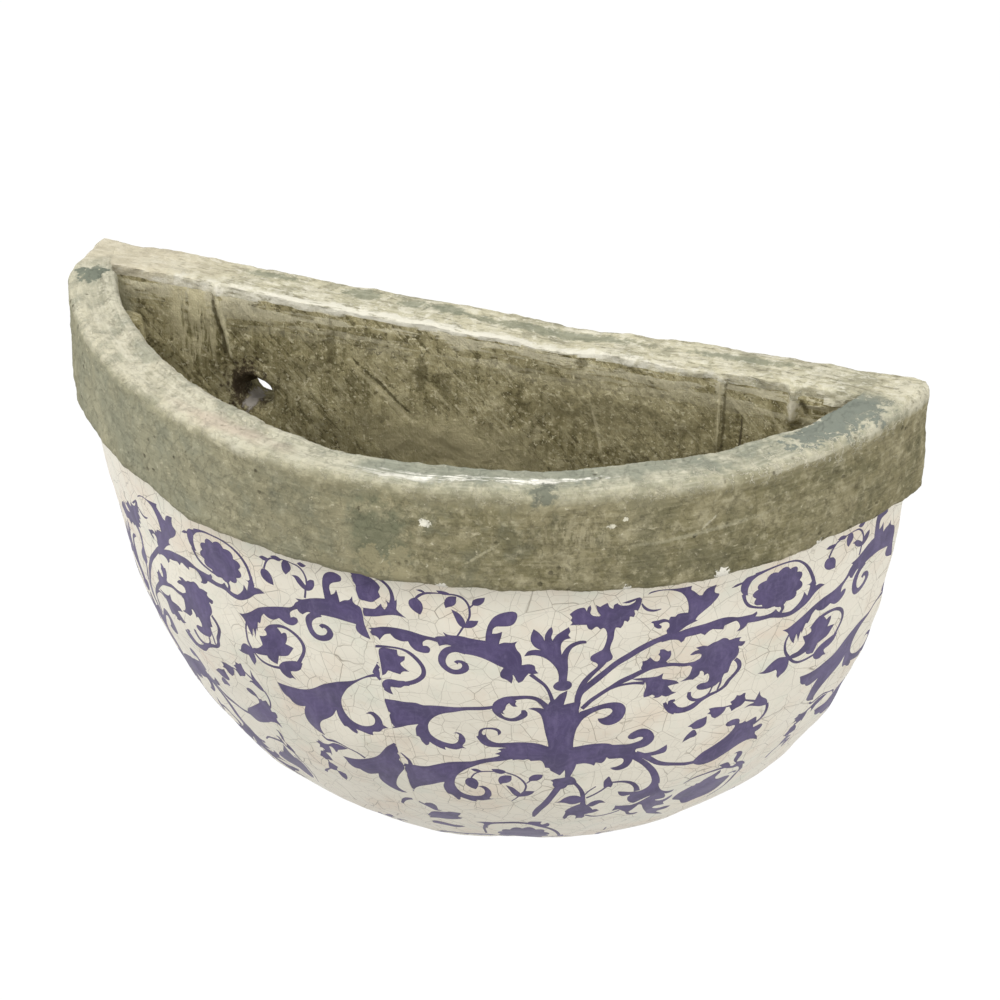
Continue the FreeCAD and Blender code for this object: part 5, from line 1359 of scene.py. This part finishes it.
def build_sheet(side):
    """Cuts one flat sheet along the outlines of its print, lays it on the bowl and gives it its
    thickness."""
    name = "glazed_sheet_right" if side > 0 else "glazed_sheet_left"
    edge = sheet_edge(side)
    shapes = printed_shapes(side)
    points, lines = [], []
    for outline in [edge] + shapes:
        corners = [tuple(p) for p in outline]
        ring = spaced(corners + corners[:1], OUTLINE_STEP)[:-1]
        start = len(points)
        points += ring
        lines += [(start + i, start + (i + 1) % len(ring)) for i in range(len(ring))]
    low, high = edge.min(axis=0), edge.max(axis=0)
    half = GRID_STEP / 2
    grid = np.array([(x + (half if round(y / GRID_STEP) % 2 else 0.0), y)
                     for y in np.arange(low[1] + half, high[1], GRID_STEP)
                     for x in np.arange(low[0] + half, high[0], GRID_STEP)])
    grid = grid[crossings(edge, grid[:, 0], grid[:, 1])]
    points += [tuple(p) for p in grid]
    spots, _, faces, *_ = delaunay_2d_cdt([Vector(p) for p in points], lines, [], 0, 0.02, False)
    spots = np.array([tuple(p) for p in spots])
    faces = np.array(faces)
    middles = spots[faces].mean(axis=1)
    inside = crossings(edge, middles[:, 0], middles[:, 1])
    faces, middles = faces[inside], middles[inside]
    inked = np.zeros(len(faces), dtype=bool)
    for outline in shapes:
        near = ((middles >= outline.min(axis=0)) & (middles <= outline.max(axis=0))).all(axis=1)
        inked[near] |= crossings(outline, middles[near, 0], middles[near, 1])
    inked &= side * (middles[:, 0] - seam_at(middles[:, 1])) > SEAM_MARGIN
    used = np.unique(faces)
    where = {old: new for new, old in enumerate(used)}
    mesh = bpy.data.meshes.new(name)
    mesh.from_pydata([laid_on_bowl(*spots[i]) for i in used], [],
                     [[where[i] for i in face] for face in faces])
    mesh.materials.append(material_named("crackle_glaze", crackle_glaze))
    mesh.materials.append(material_named("printed_violet_ink", printed_ink))
    mesh.polygons.foreach_set("material_index", inked.astype(np.int32))
    depth = mesh.attributes.new("ink_depth", "FLOAT", "POINT")
    depth.data.foreach_set("value", ink_depths(spots, faces, inked)[used])
    obj = bpy.data.objects.new(name, mesh)
    bpy.context.scene.collection.objects.link(obj)
    pick(obj)
    bpy.ops.object.mode_set(mode="EDIT")
    bpy.ops.mesh.select_all(action="SELECT")
    bpy.ops.mesh.remove_doubles(threshold=2e-6)
    bpy.ops.mesh.normals_make_consistent(inside=False)
    bpy.ops.object.mode_set(mode="OBJECT")
    front = max(obj.data.polygons, key=lambda face: face.area)
    outward = front.center - Vector((0, derived()["axis"], front.center.z))
    if front.normal.dot(outward) < 0:
        obj.data.flip_normals()
    apply_modifier(obj, "SOLIDIFY", thickness=sizes().glaze, offset=-1.0, use_rim=True)
    drill_drain(obj)
    return obj


class PlanterSizes(bpy.types.PropertyGroup):
    """The planter's real sizes."""

    width: FloatProperty(name="Width", description="Across the rim along the wall",
                         default=0.380, unit="LENGTH")
    depth: FloatProperty(name="Depth", description="From the wall to the front of the rim",
                         default=0.148, unit="LENGTH")
    collar_height: FloatProperty(name="Collar height", description="Height of the cement collar",
                                 default=0.0456, unit="LENGTH")
    collar_overhang: FloatProperty(name="Collar overhang",
                                   description="How far the collar stands out over the glaze",
                                   default=0.0084, unit="LENGTH")
    collar_round: FloatProperty(name="Collar edge", description="Radius of the collar's top edge",
                                default=0.0041, unit="LENGTH")
    lip: FloatProperty(name="Lip", description="Height of the cement over the clay wall",
                       default=0.016, unit="LENGTH")
    wall: FloatProperty(name="Bowl wall", description="Thickness of the bowl's clay",
                        default=0.0095, unit="LENGTH")
    slab: FloatProperty(name="Back slab", description="Thickness of the flat back",
                        default=0.0225, unit="LENGTH")
    glaze: FloatProperty(name="Glaze", description="Thickness of a glazed sheet",
                         default=0.0008, unit="LENGTH")
    bowl_drop: FloatProperty(name="Bowl drop", description="Height of the bowl under the collar",
                             default=0.2077, unit="LENGTH")
    side_lean: FloatProperty(name="Side lean", description="Lean of the side under the collar",
                             default=math.radians(2.84), subtype="ANGLE")
    belly_lean: FloatProperty(name="Belly lean", description="Lean where the side turns under",
                              default=math.radians(20.56), subtype="ANGLE")
    foot_radius: FloatProperty(name="Foot radius", description="Radius where the bowl lies flat",
                               default=0.0216, unit="LENGTH")
    hole_pitch: FloatProperty(name="Hole pitch", description="Between the two hanging holes",
                              default=0.200, unit="LENGTH")
    hole_drop: FloatProperty(name="Hole drop", description="From the rim down to the holes",
                             default=0.049, unit="LENGTH")
    hole_diameter: FloatProperty(name="Hole diameter", description="Across a hanging hole",
                                 default=0.015, unit="LENGTH")
    luting: FloatProperty(name="Luting coil", description="Width of the coil in the inside joint",
                          default=0.012, unit="LENGTH")
    drain: FloatProperty(name="Drain hole", description="Across the drain hole",
                         default=0.012, unit="LENGTH")
    drain_setback: FloatProperty(name="Drain setback",
                                 description="From the back slab to the drain hole",
                                 default=0.025, unit="LENGTH")


def colour_property(name, description, code):
    """A colour that a user can change, written as sRGB hex."""
    return FloatVectorProperty(name=name, description=description, default=linear(code)[:3],
                               subtype="COLOR", size=3, min=0.0, max=1.0)


class PlanterColours(bpy.types.PropertyGroup):
    """The planter's main colours."""

    cement: colour_property("Cement", "Brushed cement of the collar", "#8f8768")
    cement_dark: colour_property("Dark cement", "Cement in its hollows", "#787252")
    clay: colour_property("Clay", "Washed clay of the inside", "#a29973")
    clay_dark: colour_property("Dark clay", "Damp clay of the inside", "#867d58")
    glaze: colour_property("Glaze", "Cream of the glaze", "#ede7d7")
    ink: colour_property("Ink", "Violet of the print", "#594d76")
    ink_dark: colour_property("Dark ink", "Violet where the ink lies thick", "#473d62")


class PLANTER_OT_rim_collar(bpy.types.Operator):
    """Spin the cement collar, cut it at the wall and roughen it."""

    bl_idname = "planter.rim_collar"
    bl_label = "Rim collar"

    def execute(self, context):
        size, made = sizes(), derived()
        out, top, edge = made["collar"], made["top"], size.collar_round
        low, glaze, mouth = made["edge"], made["glaze"], made["mouth"]
        corner = [(out - edge + edge * math.sin(t), top - edge + edge * math.cos(t))
                  for t in np.linspace(0, math.pi / 2, 6)]
        outline = [(mouth, top)] + corner + [(out, low + 0.002), (out - 0.0015, low), (glaze, low),
                                             (glaze, top - size.lip - KEY),
                                             (mouth, top - size.lip - KEY)]
        obj = spin_profile("cement_collar", outline, 160)
        slice_off(obj, (0, 0, 0), (0, 1, 0))
        slice_off(obj, Vector((LEFT_END[0], LEFT_END[1], top)), (-0.988, -0.09, 0.12))
        slice_off(obj, Vector((LEFT_END[0] + 0.0015, 0, top)), (-0.7, 0, 0.7))
        for sign, reach, round_off in ((-1, -LEFT_END[0] + 0.0070, 0.004),
                                       (1, size.width / 2, 0.0105)):
            for turn in (22, 45, 68):
                away = Vector((sign * math.cos(math.radians(turn)), math.sin(math.radians(turn)),
                               0))
                heart = Vector((sign * (reach - round_off), -round_off, 0))
                slice_off(obj, heart + away * round_off, away)
            away = Vector((sign * 0.8, 0.25, -0.55)).normalized()
            slice_off(obj, Vector((sign * (reach - 0.002), 0, low)), away)
        even_mesh(obj, CEMENT_VOXEL)
        lift_top(obj)
        thick = weigh(obj, "thick", lambda p: (
            min(1.0, (-0.020 - p.x) / 0.040) * min(1.0, (p.z - 0.036) / 0.006)
            if math.hypot(p.x, p.y - made["axis"]) < mouth + 0.004 and p.y < -0.030 else 0.0))
        apply_modifier(obj, "DISPLACE", direction="NORMAL", mid_level=0.0, strength=0.0022,
                       vertex_group=thick)
        hand = weigh(obj, "worn", lambda p: (
            1.0 - abs(math.hypot(math.hypot(p.x, p.y - made["axis"]) - out + edge, p.z - top)
                      - 0.001) / 0.006))
        low_edge = weigh(obj, "low_edge", lambda p: (
            1.0 - abs(p.z - low) / 0.004
            if math.hypot(p.x, p.y - made["axis"]) > out - 0.004 else 0.0))
        sag(obj, *HAND_FORMED, *CEMENT_FORMED)
        roughen(obj, "cement_chips", 0.0065, 0.0016, hand, 0.60, noise_depth=2)
        roughen(obj, "cement_drips", 0.024, 0.0022, low_edge, 0.50, noise_depth=1)
        wash_inside(obj, lambda p: (math.hypot(p.x, p.y - made["axis"]) < mouth + 0.0022
                                    and p.z < top - 0.0030))
        finish_piece(obj, ["rim_collar"], "cement",
                     material_named("brushed_cement", brushed_cement),
                     material_named("slurry_washed_clay", washed_clay))
        return {"FINISHED"}


class PLANTER_OT_back_coping(bpy.types.Operator):
    """Shape the cement coping on top of the back."""

    bl_idname = "planter.back_coping"
    bl_label = "Back coping"

    def execute(self, context):
        size, made = sizes(), derived()
        top, mouth = made["top"], made["mouth"]
        reach, low = mouth + KEY, top - size.lip - KEY
        obj = spin_profile("cement_coping", [(0.0, top), (reach, top), (reach, low), (0.0, low)],
                           160)
        slice_off(obj, (0, 0, 0), (0, 1, 0))
        slice_off(obj, (0, -size.slab, 0), (0, -1, 0))
        even_mesh(obj, CEMENT_VOXEL, 3)
        lift_top(obj)
        worn = weigh(obj, "worn", lambda p: 1.0 - min(
            abs(p.y + size.slab), 2.2 * abs(p.y) + 0.003) / 0.006 if p.z > top - 0.005 else 0.0)
        sag(obj, *HAND_FORMED, *CEMENT_FORMED)
        press_folds(obj)
        roughen(obj, "coping_chips", 0.007, 0.0022, worn, 0.56, noise_depth=3)
        wash_inside(obj, lambda p: p.y < -size.slab + 0.004 and p.z < top - 0.0025)
        finish_piece(obj, ["back_coping"], "cement",
                     material_named("trowelled_cement", coping_cement),
                     material_named("slurry_washed_clay", washed_clay))
        return {"FINISHED"}


class PLANTER_OT_back_slab(bpy.types.Operator):
    """Cut the flat clay back out of the bowl's form and pierce its two rough hanging holes."""

    bl_idname = "planter.back_slab"
    bl_label = "Back slab"

    def execute(self, context):
        size, made = sizes(), derived()
        top = made["top"] - size.lip + KEY
        side = [side_point(s, size.glaze + 0.0003) for s in
                np.linspace(made["edge"] - top, side_end() + 0.02, 90)]
        outline = [(0.0, top)] + side + [(0.0, side[-1][1])]
        obj = spin_profile("clay_back", spaced(outline, 0.008), 110)
        slice_off(obj, (0, 0, 0), (0, 1, 0))
        slice_off(obj, (0, -size.slab, 0), (0, -1, 0))
        radius = size.hole_diameter / 2
        for sign in (-1, 1):
            for wide, narrow, depth, place in (
                    (radius, radius, DRILL_LENGTH, -size.slab / 2),
                    (radius + HOLE_BREAK, radius - 0.0004, 0.0021, -0.0008),
                    (radius - 0.001, radius + 0.0024, 0.008, -size.slab + 0.0039)):
                clear_selection()
                bpy.ops.mesh.primitive_cone_add(
                    vertices=32, radius1=wide, radius2=narrow, depth=depth,
                    location=(sign * size.hole_pitch / 2, place, 0.0),
                    rotation=(math.pi / 2, 0, 0))
                cut_with(obj, bpy.context.object)
        even_mesh(obj, SLAB_VOXEL)
        inside = weigh(obj, "inside", lambda p: (
            (top - KEY - p.z) / 0.012 if p.y < -size.slab + 0.002 else 0.0))
        for sign in (-1, 1):
            start = Vector((sign * size.hole_pitch / 2, 0.1, 0.0))
            if obj.ray_cast(start, Vector((0, -1, 0)))[0]:
                raise RuntimeError("a hanging hole isn't open")
        mouths = weigh(obj, "mouths", lambda p: 1.6 - math.hypot(
            abs(p.x) - size.hole_pitch / 2, p.z) / 0.009 if p.y < -size.slab + 0.010 else 0.0)
        sag(obj, *HAND_FORMED, *CEMENT_FORMED)
        roughen(obj, "slab_lumps", 0.020, 0.0024, inside)
        roughen(obj, "broken_mouths", 0.006, 0.0046, mouths, noise_depth=2)
        press_folds(obj)
        finish_piece(obj, ["back_slab"], "fired_clay",
                     material_named("slurry_washed_clay", washed_clay))
        return {"FINISHED"}


class PLANTER_OT_bowl_shell(bpy.types.Operator):
    """Spin the clay wall of the bowl, cut it at the back slab and pierce its drain hole."""

    bl_idname = "planter.bowl_shell"
    bl_label = "Bowl shell"

    def execute(self, context):
        size, made = sizes(), derived()
        top = -(size.collar_height - size.lip)
        rows = np.linspace(top, side_end() + 0.012, 120)
        outer = [side_point(s, size.glaze) for s in rows]
        inner = [side_point(s, size.glaze + size.wall) for s in rows[::-1]]
        outline = spaced(outer, 0.004) + spaced(inner, 0.0019)
        obj = spin_profile("clay_bowl", outline, 280)
        slice_off(obj, (0, -size.slab, 0), (0, 1, 0))
        drill_drain(obj)
        skin = sorted((up, out) for out, up in map(side_point, rows))
        heights, reaches = zip(*skin)
        inside = weigh(obj, "inside", lambda p: 1.0 if (
            math.hypot(p.x, p.y - made["axis"])
            < np.interp(p.z, heights, reaches) - size.wall / 2) else 0.0)
        sag(obj, *HAND_FORMED)
        sag(obj, *CEMENT_FORMED, group=inside)
        finish_piece(obj, ["bowl_shell"], "fired_clay",
                     material_named("slurry_washed_clay", washed_clay))
        return {"FINISHED"}


class PLANTER_OT_luting_coil(bpy.types.Operator):
    """Press a coil of clay into the inside joint of the slab and the bowl."""

    bl_idname = "planter.luting_coil"
    bl_label = "Luting coil"

    def execute(self, context):
        size = sizes()
        top = -(size.collar_height - size.lip)
        rows = np.linspace(top, side_end() + 0.010, 90)
        outer = [side_point(s, size.glaze + size.wall) for s in rows]
        inner = [side_point(s, size.glaze + size.wall + size.luting) for s in rows[::-1]]
        obj = spin_profile("clay_coil", spaced(outer + inner, 0.003), 200)
        slice_off(obj, (0, -size.slab, 0), (0, 1, 0))
        slice_off(obj, (0, -size.slab - size.luting, 0), (0, -1, 0))
        apply_modifier(obj, "REMESH", mode="VOXEL", voxel_size=COIL_VOXEL)
        apply_modifier(obj, "SMOOTH", factor=0.7, iterations=14)
        sag(obj, *HAND_FORMED)
        roughen(obj, "coil_lumps", 0.009, 0.0022)
        finish_piece(obj, ["luting_coil"], "fired_clay",
                     material_named("slurry_washed_clay", washed_clay))
        return {"FINISHED"}


class PLANTER_OT_glaze_panels(bpy.types.Operator):
    """Lay the two printed and glazed sheets on the bowl."""

    bl_idname = "planter.glaze_panels"
    bl_label = "Glaze panels"

    def execute(self, context):
        for side, name in ((-1, "glaze_panel_left"), (1, "glaze_panel_right")):
            obj = build_sheet(side)
            sag(obj, *HAND_FORMED)
            finish_piece(obj, [name], "glaze")
        return {"FINISHED"}


class PLANTER_OT_stage(bpy.types.Operator):
    """Set the floor, the soft studio light and the camera."""

    bl_idname = "planter.stage"
    bl_label = "Studio"

    def execute(self, context):
        clear_selection()
        bpy.ops.mesh.primitive_plane_add(size=9.0, location=(0, 0, -1.6))
        floor = bpy.context.object
        floor.name = floor.data.name = "floor"
        material, tree, _ = new_material("pale_floor_paint")
        path = add_node(tree, "LightPath")
        seen = maths(tree, "MAXIMUM", path.outputs["Is Camera Ray"],
                     path.outputs["Is Glossy Ray"])
        plain = add_node(tree, "BsdfDiffuse", Color="#c6c5c2")
        white = add_node(tree, "Emission", Color="#ffffff", Strength=1.06)
        mixed = add_node(tree, "MixShader", i0=maths(tree, "MULTIPLY", seen, 0.95),
                         i1=plain.outputs[0], i2=white.outputs[0])
        add_node(tree, "OutputMaterial", Surface=mixed.outputs[0])
        floor.data.materials.append(material)
        world = bpy.data.worlds.new("studio")
        context.scene.world = world
        world.use_nodes = True
        tree = world.node_tree
        tree.nodes.clear()
        path = add_node(tree, "LightPath")
        seen = maths(tree, "MAXIMUM", path.outputs["Is Camera Ray"],
                     path.outputs["Is Transmission Ray"])
        strength = add_node(tree, "Mix", {"data_type": "FLOAT"}, i0=seen, i2=0.66, i3=1.0)
        light = add_node(tree, "Background", Color="#ffffff", Strength=strength.outputs[0])
        add_node(tree, "OutputWorld", Surface=light.outputs[0])
        middle = Vector((0, -0.06, -0.06))
        for name, place, across, power in (
                ("overhead", (-0.1, -0.7, 1.7), 1.4, 23.5),
                ("left", (-1.5, -0.7, 0.5), 1.2, 11.0),
                ("right", (1.6, -0.8, 0.5), 1.2, 11.5)):
            bpy.ops.object.light_add(type="AREA", location=place)
            lamp = context.object
            lamp.name = name
            lamp.data.size = across
            lamp.data.energy = power
            lamp.rotation_euler = (middle - Vector(place)).to_track_quat("-Z", "Y").to_euler()
        bpy.ops.object.camera_add(location=CAMERA_PLACE)
        camera = context.object
        right, up = Vector(CAMERA_RIGHT), Vector(CAMERA_UP)
        turn = Matrix((right, up, right.cross(up))).transposed()
        camera.rotation_euler = turn.to_euler()
        camera.data.lens = CAMERA_LENS
        camera.data.sensor_width = 36.0
        context.scene.camera = camera
        context.scene.view_settings.view_transform = "Standard"
        return {"FINISHED"}


class PLANTER_PT_panel(bpy.types.Panel):
    """Builds the planter piece by piece."""

    bl_idname = "PLANTER_PT_panel"
    bl_label = "Wall planter"
    bl_space_type = "VIEW_3D"
    bl_region_type = "UI"
    bl_category = "Planter"

    def draw(self, context):
        for operator in STEPS:
            self.layout.operator(operator.bl_idname)
        for group in (context.scene.planter_sizes, context.scene.planter_colours):
            for name in group.__annotations__:
                self.layout.prop(group, name)


STEPS = (PLANTER_OT_back_slab, PLANTER_OT_bowl_shell, PLANTER_OT_luting_coil,
         PLANTER_OT_glaze_panels, PLANTER_OT_rim_collar, PLANTER_OT_back_coping,
         PLANTER_OT_stage)
CLASSES = (PlanterSizes, PlanterColours) + STEPS + (PLANTER_PT_panel,)


def register():
    """Registers the add-on's classes and its settings."""
    for item in CLASSES:
        bpy.utils.register_class(item)
    bpy.types.Scene.planter_sizes = PointerProperty(type=PlanterSizes)
    bpy.types.Scene.planter_colours = PointerProperty(type=PlanterColours)


def unregister():
    """Takes the add-on's classes and settings away."""
    del bpy.types.Scene.planter_colours
    del bpy.types.Scene.planter_sizes
    for item in reversed(CLASSES):
        bpy.utils.unregister_class(item)


def plain(box):
    """A box as plain lists of numbers."""
    return [[float(v) for v in corner] for corner in box]


def main():
    """Builds the planter and its studio."""
    register()
    for operator in STEPS:
        group, name = operator.bl_idname.split(".")
        getattr(getattr(bpy.ops, group), name)()


if __name__ == "__main__":
    main()
